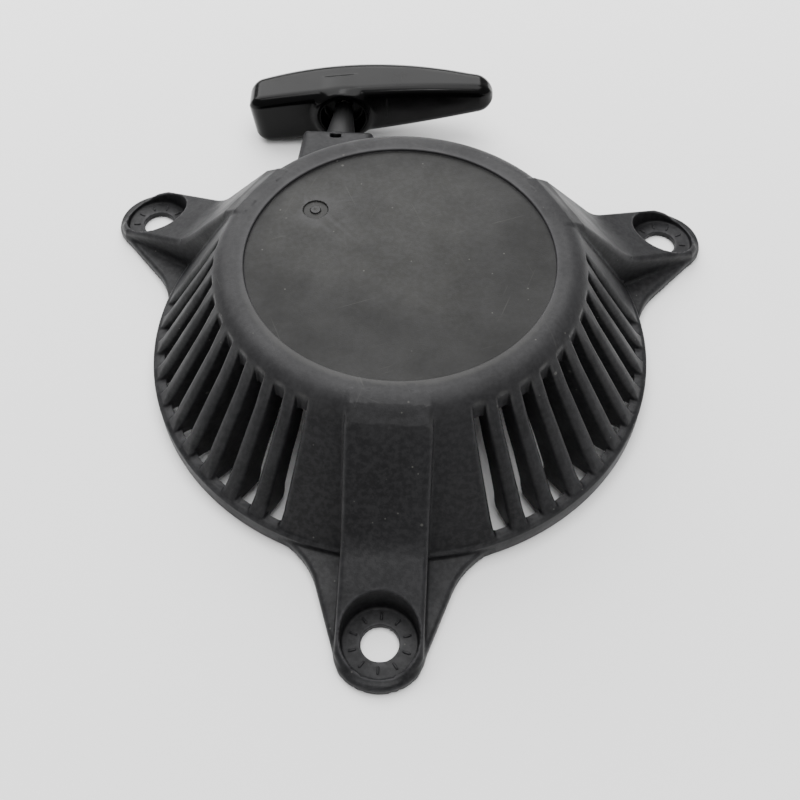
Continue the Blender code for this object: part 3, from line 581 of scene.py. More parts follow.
def case_lines(s):
    """Radii, angles and heights of the case's grid, closer together where the shape is fine."""

    def run(stops):
        lines = [np.arange(a, b, step) for (a, step), (b, _) in zip(stops, stops[1:])]
        return np.concatenate(lines)

    d = s.detail
    radii = [(0.5, 1.0), (8.5, 2.2), (26.4, 0.38), (35.2, 1.0), (42.2, 0.36), (44.6, d), (71.0, 0.55)]
    radii = run([*radii, (76.4, d), (111.6, d)])
    heights = run([(-0.9, 0.45), (3.6, d), (40.6, 0.36), (44.0, 1.0)])
    fine, plain = math.radians(0.3), math.radians(0.62)
    near = math.radians(9.0)
    count = round((THIRD - 2 * near) / plain)
    far = near + (THIRD - 2 * near) * np.arange(count) / count
    one = np.concatenate([np.arange(-near, near - 1e-9, fine), far])
    angles = np.concatenate([one + THIRD * k for k in range(EAR_COUNT)]) - math.pi / 2
    return radii, angles, heights


def grid_net(field, axes, place, wrapped):
    """Works out a field on a grid, slab by slab, and nets its surface. axes are the grid's three
    rows of numbers, and place turns them into x, y and z."""
    rows = [np.asarray(a, np.float32) for a in axes]
    values = np.empty([len(a) for a in rows], np.float32)
    for start in range(0, len(rows[0]), 24):
        slab = np.meshgrid(rows[0][start : start + 24], rows[1], rows[2], indexing="ij")
        values[start : start + 24] = field(*place(*slab))
    second = np.append(rows[1], rows[1][0] + TURN) if wrapped else rows[1]
    table = [rows[0], second, rows[2]]

    def spot(numbers):
        read = [np.interp(n, np.arange(len(a)), a) for n, a in zip(numbers, table)]
        return np.stack(place(*read))

    return net_surface(values, spot, wrapped)


def about_axis(r, angle, z):
    """Cylinder coordinates about Z, as x, y and z."""
    return r * np.cos(angle), r * np.sin(angle), z


def as_given(x, y, z):
    return x, y, z


def steps(start, end, size):
    """Evenly spaced numbers, about a size apart, from start to end."""
    return np.linspace(start, end, max(2, int(round((end - start) / size)) + 1))


def net_piece(name, field, axes, slot, body, node, most, place=as_given, turn=None, rounds=2):
    """A piece netted from its field on a grid of x, y and z, or of r, angle and z where place is
    about_axis. turn, if given, stands it in its place afterwards."""
    points, quads = grid_net(field, axes, place, place is about_axis)
    points = onto_surface(field, points, rounds)
    obj = new_piece(name, points, quads, slot, body, node)
    close_and_thin(obj, most)
    finish_net(obj, field, turn)


# --------------------------------------------------------------------------- turned and drawn pieces


def rounded_outline(corners, radii, count=6):
    """An outline with its corners rounded: each corner becomes an arc between the two points that
    lie the radius over the tangent of half the corner's angle along its sides."""
    points = np.array(corners, float)
    made = []
    for k, radius in enumerate(radii):
        before, here, after = points[k - 1], points[k], points[(k + 1) % len(points)]
        if radius <= 0:
            made.append(here[None])
            continue
        one = (before - here) / np.linalg.norm(before - here)
        two = (after - here) / np.linalg.norm(after - here)
        half = math.acos(np.clip(one @ two, -1, 1)) / 2
        back = radius / math.tan(half)
        middle_way = (one + two) / np.linalg.norm(one + two)
        centre = here + middle_way * radius / math.sin(half)
        t = np.linspace(0, 1, count + 1)[:, None]
        ends = (here + one * back) * (1 - t) + (here + two * back) * t - centre
        made.append(centre + radius * ends / np.linalg.norm(ends, axis=1, keepdims=True))
    return np.concatenate(made)


def grid_faces(rows, columns, ring_rows, ring_columns):
    """Four-sided faces of a grid of points, wrapped round where asked."""
    i = np.arange(rows if ring_rows else rows - 1)[:, None]
    j = np.arange(columns if ring_columns else columns - 1)[None]
    i2, j2 = (i + 1) % rows, (j + 1) % columns
    corners_of = [i * columns + j, i * columns + j2, i2 * columns + j2, i2 * columns + j]
    return np.stack([corner.ravel() for corner in corners_of], 1)


def turned_points(outline, count):
    """Each (r, z) of a closed outline carried round the axis: x = r cos t, y = r sin t."""
    t = np.arange(count) / count * TURN
    r, z = outline[:, 0][:, None], outline[:, 1][:, None]
    return np.stack([r * np.cos(t), r * np.sin(t), z + 0 * t], -1).reshape(-1, 3)


def right_way_out(obj):
    """Merges the points that meet on an axis and turns every face outwards."""
    bm = bmesh.new()
    bm.from_mesh(obj.data)
    bmesh.ops.remove_doubles(bm, verts=bm.verts, dist=1e-6)
    bmesh.ops.recalc_face_normals(bm, faces=bm.faces)
    bm.to_mesh(obj.data)
    bm.free()
    obj.data.shade_smooth()
    obj.data.set_sharp_from_angle(angle=math.radians(50))
    return obj


def turned_piece(name, corners, radii, count, turn, slot, body, node):
    """A closed outline of (r, z) corners, rounded, turned about an axis that turn puts in place."""
    outline = rounded_outline(corners, radii)
    points = turned_points(outline, count)
    faces = grid_faces(len(outline), count, True, True)
    obj = new_piece(name, turn(points), faces, slot, body, node)

    def field(x, y, z):
        return polygon_distance(np.hypot(x, y), z, outline)

    give(obj, "edge_wear", np.repeat(bend_of(field, points[::count], 0.6), count))
    right_way_out(obj)


def square(inner, outer, low, high):
    """The four corners of a plain outline."""
    return [(inner, low), (outer, low), (outer, high), (inner, high)]


def swept_points(path, section, up):
    """A section of (across, upwards) offsets carried along a path: each point of the path plus
    across times the level side direction plus upwards times up."""
    along = np.gradient(path, axis=0)
    along /= np.linalg.norm(along, axis=1, keepdims=True)
    side = np.cross(along, up)
    side /= np.linalg.norm(side, axis=1, keepdims=True)
    lift = np.cross(side, along)
    return path[:, None] + section[..., :1] * side[:, None] + section[..., 1:] * lift[:, None]


def give(obj, name, values):
    """Stores a number at each point of a piece, for its finish to read."""
    made = obj.data.attributes.new(name, "FLOAT", "POINT")
    made.data.foreach_set("value", np.ascontiguousarray(values, np.float32).ravel())


def swept_piece(name, path, section, slot, body, node, number=None):
    """A closed section carried along a level path, its two ends closed at their middles. number
    is the name and the values of an attribute, one for each point of the section."""
    points = swept_points(path, section, np.array((0, 0, 1.0)))
    rings, around = points.shape[:2]
    ends = np.repeat(points[[0, -1]].mean(1, keepdims=True), around, 1)
    points = np.concatenate([ends[:1], points, ends[1:]])
    faces = grid_faces(rings + 2, around, False, True)
    obj = new_piece(name, points.reshape(-1, 3), faces, slot, body, node)
    if number:
        give(obj, number[0], number[1][np.r_[0, : len(path), len(path) - 1]])
    return right_way_out(obj)


def on_rope_line(points):
    """Stands a piece turned about Z along the rope's line: its z becomes y."""
    return np.stack([points[:, 0] + ROPE_X, points[:, 2], ROPE_Z - points[:, 1]], 1)


def stay(points):
    return points


def braid_section(length, radius, lay, count=20, strands=8, relief=0.05):
    """A braided rope's section all along it: the radius rises where one of two sets of strands
    that wind opposite ways lies on top, r = R (1 + relief cos(n(t + s)) cos(n(t - s)))."""
    t = np.arange(count) / count * TURN
    s = length[:, None] / lay * TURN / 2
    n = strands / 2
    wave = np.cos(n * (t + s / n * 2)) * np.cos(n * (t - s / n * 2))
    r = radius * (1 - relief + relief * wave)
    return np.stack([r * np.cos(t), r * np.sin(t)], -1), wave


# --------------------------------------------------------------------------- finishes


class Finish:
    """A material in the making: a Principled shader, with short ways to add the nodes it uses."""

    def __init__(self, name, colour, roughness, metallic=0.0):
        self.material = bpy.data.materials.new(name)
        self.material.use_nodes = True
        self.tree = self.material.node_tree
        self.shader = self.tree.nodes["Principled BSDF"]
        self.shader.inputs["Base Color"].default_value = (*colour, 1.0)
        self.shader.inputs["Roughness"].default_value = roughness
        self.shader.inputs["Metallic"].default_value = metallic
        self.material.diffuse_color = (*colour, 1.0)
        self.place = self.node("ShaderNodeTexCoord").outputs["Object"]

    def node(self, kind, settings=(), **inputs):
        made = self.tree.nodes.new(kind)
        for key, value in dict(settings).items():
            setattr(made, key, value)
        for key, value in inputs.items():
            self.put(made.inputs[key.replace("_", " ")], value)
        return made

    def put(self, socket, value):
        if isinstance(value, bpy.types.NodeSocket):
            self.tree.links.new(value, socket)
        else:
            socket.default_value = value

    def noise(self, scale, detail=3.0, roughness=0.5, place=None):
        made = self.node(
            "ShaderNodeTexNoise", Vector=place or self.place, Scale=scale, Detail=detail, Roughness=roughness
        )
        return made.outputs["Fac"]

    def stretched(self, scale, turn=0.0):
        """Object coordinates turned about Z, then scaled differently along each axis."""
        turned = self.node("ShaderNodeMapping", Vector=self.place, Rotation=(0, 0, turn)).outputs["Vector"]
        return self.node("ShaderNodeMapping", Vector=turned, Scale=scale).outputs["Vector"]

    def between(self, value, low, high, out_low=0.0, out_high=1.0):
        made = self.node("ShaderNodeMapRange", {"interpolation_type": "SMOOTHSTEP"})
        for socket, number in zip(made.inputs, (value, low, high, out_low, out_high)):
            self.put(socket, number)
        return made.outputs[0]

    def sum(self, operation, first, second=0.0, third=0.0):
        made = self.node("ShaderNodeMath", {"operation": operation})
        for socket, number in zip(made.inputs, (first, second, third)):
            self.put(socket, number)
        return made.outputs[0]

    def times(self, first, second):
        return self.sum("MULTIPLY", first, second)

    def mixed(self, share, first, second):
        made = self.node("ShaderNodeMix", {"data_type": "RGBA"})
        for key, value in ((0, share), (6, first), (7, second)):
            self.put(made.inputs[key], (*value, 1.0) if isinstance(value, tuple) else value)
        return made.outputs[2]

    def attribute(self, name):
        return self.node("ShaderNodeAttribute", {"attribute_name": name}).outputs["Fac"]

    def relief(self, height, strength, depth, before=None):
        """depth is in metres, from the lowest to the highest of the relief."""
        made = self.node("ShaderNodeBump", Height=height, Strength=strength, Distance=depth)
        if before:
            self.put(made.inputs["Normal"], before)
        return made.outputs["Normal"]

    def done(self, colour=None, roughness=None, normal=None):
        for key, value in (("Base Color", colour), ("Roughness", roughness), ("Normal", normal)):
            if value is not None:
                self.put(self.shader.inputs[key], value)
        return self.material


def shade(colour, factor):
    return tuple(min(c * factor, 1.0) for c in colour)


def scratch_marks(f, directions=(0.35, 1.15, 1.9, 2.75)):
    """Fine straight scratches: noise stretched hard along one direction, cut off near its top,
    laid in a few directions and broken up by a coarser noise."""
    total = None
    for k, turn in enumerate(directions):
        lines = f.noise(1.0, 1.0, 0.4, f.stretched((28.0 + 9 * k, 1500.0 + 300 * k, 28.0), turn))
        patch = f.noise(34.0 + 11 * k, 2.0, 0.5, f.stretched((1.0, 1.0, 1.0), turn + k))
        one = f.times(f.between(lines, 0.68, 0.76), f.between(patch, 0.54, 0.66))
        total = one if total is None else f.sum("MAXIMUM", total, one)
    return total


def dust_specks(f, scale, size, keep):
    """Small round specks: a Voronoi cell's distance under a size, in the cells whose colour is
    above a share."""
    cell = f.node("ShaderNodeTexVoronoi", Vector=f.place, Scale=scale)
    dot = f.between(cell.outputs["Distance"], size, size * 0.5)
    chance = f.node("ShaderNodeSeparateColor", Color=cell.outputs["Color"]).outputs[0]
    return f.times(dot, f.sum("GREATER_THAN", chance, keep))


def case_finish(colours):
    """Black moulded plastic: fine spark grain, cloudy handling marks, edges paler with wear and with a
    painted highlight, a painted sheen on the ring and shoulder, a painted highlight along the near edges of
    the top, painted shade in hollows and corners, and on the sunk disc a warmer surface, painted lighter,
    with scratches and specks."""
    base, top_sheen, disc = tuple(colours.case), tuple(colours.top_sheen), tuple(colours.disc)
    sizes = bpy.context.scene.starter_case
    f = Finish("case_plastic", base, 0.5)
    f.put(f.shader.inputs["Specular IOR Level"], 0.15)
    split = f.node("ShaderNodeSeparateXYZ", Vector=f.place)
    x, y, z = split.outputs
    radius = f.sum("SQRT", f.sum("ADD", f.times(x, x), f.times(y, y)))
    top = CASE_TOP * MM
    # on_top masks the ring and shoulder on top, which get a painted sheen: paler, as where the light falls.
    on_top = f.between(f.sum("MULTIPLY_ADD", f.noise(60.0, 4.0, 0.6), 0.006, z), top - 0.0055, top + 0.0035)
    on_disc = f.between(radius, (sizes.disc_radius + 0.1) * MM, (sizes.disc_radius - 0.5) * MM)
    on_disc = f.times(on_disc, f.between(z, top - 0.003, top - 0.002))
    clouds = f.noise(26.0, 5.0, 0.6)
    blotch = f.noise(75.0, 5.0, 0.6)
    colour = f.mixed(f.between(clouds, 0.35, 0.7), shade(base, 0.8), shade(base, 1.3))
    # Painted sheen on the top, with random blotches in it.
    pale = f.mixed(f.between(blotch, 0.3, 0.75), shade(top_sheen, 0.86), shade(top_sheen, 1.18))
    # The disc's own warmer tone, painted lighter too for the light falling on it.
    warm_and_lit = f.mixed(f.between(blotch, 0.3, 0.75), shade(disc, 0.88), shade(disc, 1.16))
    colour = f.mixed(on_top, colour, pale)
    colour = f.mixed(on_disc, colour, warm_and_lit)
    mottle = f.between(f.noise(700.0, 3.0, 0.6), 0.36, 0.66, 0.0, 0.30)
    colour = f.mixed(mottle, colour, shade(top_sheen, 1.9))
    proud = f.attribute("edge_wear")
    proudness = f.sum("ADD", proud, f.sum("MULTIPLY_ADD", f.noise(420.0, 3.0, 0.6), 0.14, -0.07))
    # Proud edges paler: partly wear, partly a painted highlight where the edges catch the light, as on the
    # blades.
    proud_edges = f.between(proudness, 0.06, 0.24)
    colour = f.mixed(f.times(proud_edges, 0.5), colour, shade(top_sheen, 2.2))
    # Painted highlight: a pale line along the proud edges of the top's near half, where the light catches
    # them.
    near = f.times(f.between(y, 0.0, -0.035), on_top)
    near_edge_highlight = f.times(f.times(near, f.between(proud, 0.03, 0.16)), 0.28)
    colour = f.mixed(near_edge_highlight, colour, shade(disc, 3.4))
    # Painted shade: hollows and corners darkened below the black plastic's own colour.
    hollow_shade = f.between(proudness, -0.06, -0.30)
    colour = f.mixed(f.times(hollow_shade, 0.55), colour, shade(base, 0.35))
    scratches = scratch_marks(f)
    amount = f.between(on_top, 0.0, 1.0, 0.05, 0.20)
    colour = f.mixed(f.times(scratches, amount), colour, shade(disc, 5.0))
    specks = f.sum("MAXIMUM", dust_specks(f, 210.0, 0.13, 0.95), dust_specks(f, 620.0, 0.2, 0.97))
    colour = f.mixed(f.times(specks, 0.4), colour, shade(disc, 7.0))
    rough = f.between(f.noise(55.0, 4.0, 0.6), 0.3, 0.75, 0.42, 0.60)
    rough = f.sum("SUBTRACT", rough, f.times(proud_edges, 0.06))
    normal = f.relief(f.noise(2600.0, 2.0, 0.5), 0.45, 0.00008)
    normal = f.relief(f.noise(160.0, 3.0, 0.5), 0.10, 0.0004, normal)
    normal = f.relief(scratches, -0.25, 0.00008, normal)
    return f.done(colour, rough, normal)


def grip_finish(colours):
    """Gloss black plastic: nearly a mirror, with faint waves, hairlines and finger marks."""
    base = tuple(colours.grip)
    f = Finish("grip_plastic", base, 0.12)
    f.put(f.shader.inputs["Specular IOR Level"], 0.12)
    smear = f.noise(70.0, 4.0, 0.6)
    hair = scratch_marks(f, (0.2, 1.4))
    proud_edges = f.between(f.attribute("edge_wear"), 0.12, 0.5)
    colour = f.mixed(f.times(f.sum("MAXIMUM", hair, proud_edges), 0.25), base, (0.02, 0.02, 0.02))
    rough = f.between(smear, 0.3, 0.8, 0.14, 0.30)
    rough = f.sum("ADD", rough, f.times(hair, 0.15))
    normal = f.relief(f.noise(95.0, 2.0, 0.4), 0.10, 0.0005)
    normal = f.relief(f.noise(900.0, 2.0, 0.4), 0.05, 0.00008, normal)
    return f.done(colour, rough, normal)


def plain_plastic(name, base, roughness, grain):
    """Moulded plastic that is hardly handled: grain, a little cloud and pale edges."""
    f = Finish(name, base, roughness)
    f.put(f.shader.inputs["Specular IOR Level"], 0.2)
    clouds = f.noise(60.0, 4.0, 0.6)
    colour = f.mixed(f.between(clouds, 0.3, 0.75), shade(base, 0.8), shade(base, 1.25))
    proud_edges = f.between(f.attribute("edge_wear"), 0.10, 0.45)
    colour = f.mixed(f.times(proud_edges, 0.4), colour, shade(base, 2.6))
    rough = f.between(clouds, 0.3, 0.75, roughness - 0.06, roughness + 0.08)
    normal = f.relief(f.noise(grain, 2.0, 0.5), 0.3, 0.00006)
    return f.done(colour, rough, normal)


def rope_finish(colours):
    """Braided nylon: pale yarns with painted shade in the gaps between them, and a slight sheen."""
    base = tuple(colours.rope)
    f = Finish("rope_nylon", base, 0.75)
    f.put(f.shader.inputs["Sheen Weight"], 0.3)
    gaps = f.between(f.attribute("yarn"), -0.6, 0.4)
    fibre = f.noise(2200.0, 2.0, 0.6, f.stretched((1.0, 0.25, 1.0)))
    # Painted shade: the gaps between the yarns darkened.
    colour = f.mixed(gaps, shade(base, 0.38), base)
    colour = f.mixed(f.between(fibre, 0.35, 0.7, 0.0, 0.5), colour, shade(base, 0.7))
    rough = f.between(fibre, 0.3, 0.7, 0.62, 0.85)
    return f.done(colour, rough, f.relief(fibre, 0.4, 0.0001))


def steel_finish(name, base, roughness, streak, stain):
    """Steel with fine turning or rolling lines, cloudy roughness and a touch of tarnish."""
    f = Finish(name, base, roughness, 1.0)
    lines = f.noise(1.0, 3.0, 0.6, f.stretched(streak))
    cloud = f.noise(130.0, 4.0, 0.6)
    colour = f.mixed(f.between(cloud, 0.35, 0.75), base, shade(base, stain))
    proud_edges = f.between(f.attribute("edge_wear"), 0.10, 0.4)
    colour = f.mixed(f.times(proud_edges, 0.35), colour, shade(base, 1.4))
    rough = f.between(cloud, 0.3, 0.75, roughness - 0.06, roughness + 0.12)
    return f.done(colour, rough, f.relief(lines, 0.15, 0.00005))


def floor_finish(colour):
    """Pale matte card, very slightly uneven, with a faint glow away from the part to keep it pale."""
    colour = tuple(colour)
    f = Finish("floor_card", colour, 0.9)
    f.put(f.shader.inputs["Emission Color"], (1, 1, 1, 1))
    out = f.node("ShaderNodeVectorMath", {"operation": "LENGTH"})
    f.put(out.inputs[0], f.place)
    f.put(f.shader.inputs["Emission Strength"], f.between(out.outputs["Value"], 0.09, 0.30, 0.0, 0.22))
    f.put(f.shader.inputs["Specular IOR Level"], 0.1)
    cloud = f.noise(6.0, 3.0, 0.5)
    return f.done(f.mixed(cloud, shade(colour, 0.985), colour), None, f.relief(f.noise(500.0), 0.03, 0.0002))


FINISHES = {
    "case_plastic": case_finish,
    "grip_plastic": grip_finish,
    "rope_nylon": rope_finish,
    "guide_plastic": lambda c: plain_plastic("guide_plastic", tuple(c.guide), 0.5, 1800.0),
    "pulley_plastic": lambda c: plain_plastic("pulley_plastic", tuple(c.pulley), 0.55, 2400.0),
    "spring_steel": lambda c: steel_finish("spring_steel", tuple(c.spring), 0.28, (900.0, 900.0, 12.0), 0.55),
    "zinc_steel": lambda c: steel_finish("zinc_steel", tuple(c.zinc), 0.34, (40.0, 40.0, 900.0), 0.7),
    "pawl_steel": lambda c: steel_finish("pawl_steel", tuple(c.pawl), 0.42, (300.0, 700.0, 300.0), 0.6),
}


MADE = {}


def finish_of(slot):
    """A slot's finish, made when it is first asked for. The frame's own materials, which have the
    same names, are plain."""
    if slot not in MADE:
        MADE[slot] = FINISHES[slot](bpy.context.scene.starter_colours)
    return MADE[slot]


# --------------------------------------------------------------------------- pieces


class STARTER_OT_case(bpy.types.Operator):
    """Nets the case from its field on rings, rays and levels about the pulley's axis"""

    bl_idname = "starter.case"
    bl_label = "Case"

    def execute(self, context):
        s = Plain(context.scene.starter_case)

        def field(x, y, z):
            return case_field(s, x, y, z)

        net_piece("starter_case", field, case_lines(s), "case_plastic", "case", "case", 190000, about_axis)
        return {"FINISHED"}


TICKS = 10


def bar_points(length, width, height, count=8):
    """A short bar with a half-round back: rings along x at the ends and just inside them, the end
    rings drawn in, each ring an arch of width times height."""
    t = np.linspace(0, math.pi, count)
    arch = np.stack([np.cos(t) * width / 2, np.sin(t) ** 0.7 * height], -1)
    arch = np.concatenate([arch, [[-width / 2, -0.2], [width / 2, -0.2]]])
    along = np.array([0, 0.06, 0.2, 0.8, 0.94, 1.0]) * length
    share = np.array([0.2, 0.75, 1, 1, 0.75, 0.2])
    level = np.where(arch[:, 1] < 0, arch[:, 1], share[:, None] * arch[:, 1])
    rings = np.stack([along[:, None] + 0 * level, share[:, None] * arch[:, 0], level], -1)
    ends = np.repeat(rings[[0, -1]].mean(1, keepdims=True), len(arch), 1)
    return np.concatenate([ends[:1], rings, ends[1:]])


class STARTER_OT_seat_ticks(bpy.types.Operator):
    """Plain radial ticks on the floor of each bolt seat"""

    bl_idname = "starter.seat_ticks"
    bl_label = "Bolt seat ticks"

    def execute(self, context):
        s = context.scene.starter_case
        bar = bar_points(2.3, 0.75, 0.32)
        rings, around = bar.shape[:2]
        bar = bar.reshape(-1, 3) + np.array([s.hole_radius + 1.2, 0, SEAT_FLOOR])
        tick_turns = np.arange(TICKS) / TICKS * TURN
        ear_turns = np.arange(EAR_COUNT) / EAR_COUNT * TURN + FRONT

        def turned_about(points, angle):
            c, sn = np.cos(angle)[:, None], np.sin(angle)[:, None]
            x, y, z = points[..., 0], points[..., 1], points[..., 2]
            return np.stack([c * x - sn * y, sn * x + c * y, z + 0 * c], -1)

        seat = turned_about(bar[None], tick_turns).reshape(-1, 3) + np.array([s.bolt_radius, 0, 0])
        points = turned_about(seat[None], ear_turns).reshape(-1, 3)
        one = grid_faces(rings, around, False, True)
        firsts = np.arange(TICKS * EAR_COUNT) * rings * around
        faces = (one[None] + firsts[:, None, None]).reshape(-1, 4)
        right_way_out(new_piece("bolt_seat_ticks", points, faces, "case_plastic", "case"))
        return {"FINISHED"}


class STARTER_OT_rope_guide(bpy.types.Operator):
    """The snap-in bush, an outline turned about the rope's line"""

    bl_idname = "starter.rope_guide"
    bl_label = "Rope guide"

    def execute(self, context):
        inside, front, tip = GUIDE_LOW[1], GUIDE_LOW[1] + 5.3, GUIDE_HIGH[1]
        corners_of = [
            (2.8, inside), (4.6, inside), (4.6, inside + 1.7), (4.1, inside + 1.7),
            (4.1, front), (5.6, front), (5.5, front + 1.3), (3.1, tip - 1.2),
            (2.8, tip), (2.1, tip), (2.1, inside + 1.0),
        ]
        radii = [0.2, 0.2, 0.1, 0.1, 0.1, 0.3, 0.6, 0.4, 0.3, 0.25, 0.5]
        turned_piece("guide_bush", corners_of, radii, 72, on_rope_line, "guide_plastic", "case", "rope_guide")
        return {"FINISHED"}


def bow(line, a):
    """One of the bar's long edges: its middle value plus a bend times the distance squared, with
    one bend to the left of the middle and another to the right."""
    middle_a, value, left, right = line
    return value + np.where(a < middle_a, left, right) * (a - middle_a) ** 2


GRIP_TOP = (-8.0, 10.0, -0.0010, -0.00145)
GRIP_FOOT = (-14.0, -9.4, 0.0011, 0.00101)
GRIP_BACK = (-2.0, 20.2, -0.0036, -0.0029)
GRIP_ROUND = (3.4, 6.0, 5.2)


def grip_field(g, a, d, h):
    """The bar's cross-section is a rounded block, tighter at its front corners than at its back,
    and its round mouth is joined on with a fillet and bored."""
    top, foot, back = bow(GRIP_TOP, a), bow(GRIP_FOOT, a), bow(GRIP_BACK, a)
    front_round, back_round, end_round = GRIP_ROUND
    middle_d, depth = (g.face + back) / 2, back - g.face
    radius = np.minimum(np.where(d > middle_d, back_round, front_round), depth * 0.46)
    bar = edge(np.abs(h - (top + foot) / 2) - (top - foot) / 2, np.abs(d - middle_d) - depth / 2, radius)
    bar = edge(bar, np.abs(a - (g.left + g.right) / 2) - (g.right - g.left) / 2, end_round)
    out = np.hypot(a, h)
    boss = np.maximum(edge(out - g.boss_radius, -d, 0.8), d - 9.0)
    whole = join(bar, boss, 2.2)
    whole = cut(whole, edge(out - g.bore_radius + 0.08 * np.maximum(d, 0), d - 6.2, 1.0), 0.6)
    whole = cut(whole, np.maximum(out - 2.4, 2.0 - d), 0.4)
    return cut(whole, np.maximum(out - 5.6, 12.0 - d), 0.5)


def grip_turn(g):
    """Stands points of the grip's own frame at its mouth: rolled about the rope, then yawed."""
    cy, sy, cr, sr = math.cos(g.yaw), math.sin(g.yaw), math.cos(g.roll), math.sin(g.roll)
    roll = np.array([[cr, 0, sr], [0, 1, 0], [-sr, 0, cr]])
    yaw = np.array([[cy, -sy, 0], [sy, cy, 0], [0, 0, 1]])
    whole = yaw @ roll
    mouth = np.array([ROPE_X, g.mouth_y, ROPE_Z])
    return lambda points: points @ whole.T + mouth


class STARTER_OT_grip(bpy.types.Operator):
    """Nets the T grip from its field, with its mouth and knot pocket, then stands it in place"""

    bl_idname = "starter.grip"
    bl_label = "Grip"

    def execute(self, context):
        g = Plain(context.scene.starter_grip)

        def field(a, d, h):
            return grip_field(g, a, d, h)

        axes = (steps(g.left - 1.2, g.right + 1.2, 0.55), steps(-1.1, 22.0, 0.45), steps(-11.2, 11.8, 0.45))
        net_piece("t_grip", field, axes, "grip_plastic", "grip", "grip", 110000, turn=grip_turn(g), rounds=3)
        return {"FINISHED"}


def knot_points(size, thickness, count=160, around=14):
    """A tight overhand knot: a tube round the trefoil (sin t + 2 sin 2t, cos t - 2 cos 2t, -sin 3t)."""
    t = np.arange(count) / count * TURN
    x, y, z = np.sin(t) + 2 * np.sin(2 * t), np.cos(t) - 2 * np.cos(2 * t), -1.1 * np.sin(3 * t)
    path = np.stack([x, y, z], -1) * size
    along = np.roll(path, -1, 0) - np.roll(path, 1, 0)
    along /= np.linalg.norm(along, axis=1, keepdims=True)
    side = np.cross(along, path + np.array([0, 0, 0.3]))
    side /= np.linalg.norm(side, axis=1, keepdims=True)
    lift = np.cross(side, along)
    p = np.arange(around) / around * TURN
    relief = 1 + 0.06 * np.cos(4 * p[None] + 14 * t[:, None]) * np.cos(4 * p[None] - 14 * t[:, None])
    tube = relief[..., None] * thickness
    ring = np.cos(p)[None, :, None] * side[:, None] + np.sin(p)[None, :, None] * lift[:, None]
    return path[:, None] + tube * ring


def rope_knot(name, size, thickness, turn, body, node):
    points = knot_points(size, thickness)
    faces = grid_faces(points.shape[0], points.shape[1], True, True)
    right_way_out(new_piece(name, turn(points.reshape(-1, 3)), faces, "rope_nylon", body, node))


def braided(name, path, length, lay, body, node):
    """A braided rope along a path. length is the rope's own length at each point. The yarn
    attribute holds the braid's wave, so the finish can paint shade into the gaps."""
    section, wave = braid_section(length, ROPE_R * 0.985, lay)
    return swept_piece(name, path, section, "rope_nylon", body, node, ("yarn", wave))


class STARTER_OT_rope(bpy.types.Operator):
    """The rope: wound in its groove, led through the guide, and knotted at both ends"""

    bl_idname = "starter.rope"
    bl_label = "Rope"

    def execute(self, context):
        r = context.scene.starter_rope
        leave, angle, mouth = leave_point(r)
        start, end = 0.3 / r.coil_radius, r.coil_turns * TURN
        swept = np.linspace(0, end, 1500)
        radius = r.coil_radius - r.coil_pitch * swept / TURN
        at = angle + start + swept
        coil = np.stack([radius * np.cos(at), radius * np.sin(at), np.full_like(at, ROPE_Z)], -1)
        length = np.cumsum(radius) * (end / len(swept))
        braided("rope_wound", coil, length, r.lay, "pulley", "rope_coil")
        knot_turn = angle + end + 0.42
        knot_r = r.coil_radius - r.coil_pitch * r.coil_turns - 3.0
        knot_at = np.array([knot_r * math.cos(knot_turn), knot_r * math.sin(knot_turn), ROPE_Z])
        rope_knot("pulley_end_knot", 0.46, 1.0, lambda p: p + knot_at, "pulley", "pulley_knot")
        self.lead(r, leave, mouth)
        knot_y = middle("grip_knot")[1]

        def flattened(p):
            return on_rope_line(p * [1, 1, 0.84]) + [0, knot_y, 0]

        rope_knot("grip_end_knot", 0.80, 1.25, flattened, "grip", "grip_knot")
        low, high = corners("knot_washer")
        ring = square(2.0, 4.6, low[1], high[1])
        turned_piece("knot_ring", ring, [0.2] * 4, 48, on_rope_line, "zinc_steel", "grip", "knot_washer")
        return {"FINISHED"}

    def lead(self, r, leave, mouth):
        """Straight off the coil, a soft bend into the guide, then straight to the grip. Between
        hold and let_go its rings and its braid are spaced for a stretch of 3t^2 - 2t^3 of the
        pull, so that they would lie evenly on the rope when it is all out."""
        run = (mouth - leave) / np.linalg.norm(mouth - leave)
        hold, let_go, last = mouth[1] + 7.0, LEAD_HIGH[1] - 2.6, LEAD_HIGH[1]
        t = np.linspace(0, 1, 60)[:, None]
        first = leave + run * 0.4
        bend_from, bend_to = mouth - run * 5.0, mouth + np.array([0, 5.0])
        straight = first + (bend_from - first) * t[:-1]
        bend = (1 - t) ** 2 * bend_from + 2 * t * (1 - t) * mouth + t**2 * bend_to
        y = np.linspace(bend_to[1], last, 4000)
        share = np.clip((y - hold) / (let_go - hold), 0, 1)
        out = y + r.pull * share**2 * (3 - 2 * share)
        evenly = np.linspace(out[0], out[-1], 1150)[1:]
        spaced = np.interp(evenly, out, y)
        tail = np.stack([np.full_like(spaced, ROPE_X), spaced], -1)
        plan = np.concatenate([straight, bend, tail])
        path = np.column_stack([plan, np.full(len(plan), ROPE_Z)])
        drawn = np.concatenate([straight[:, 1], bend[:, 1], evenly])
        obj = braided("rope_lead_out", path, drawn, r.lay, None, "rope_lead")
        start, end = ((ROPE_X * MM, y_at * MM, ROPE_Z * MM) for y_at in (hold, let_go))
        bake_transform(obj)
        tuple(start)
        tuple(end)


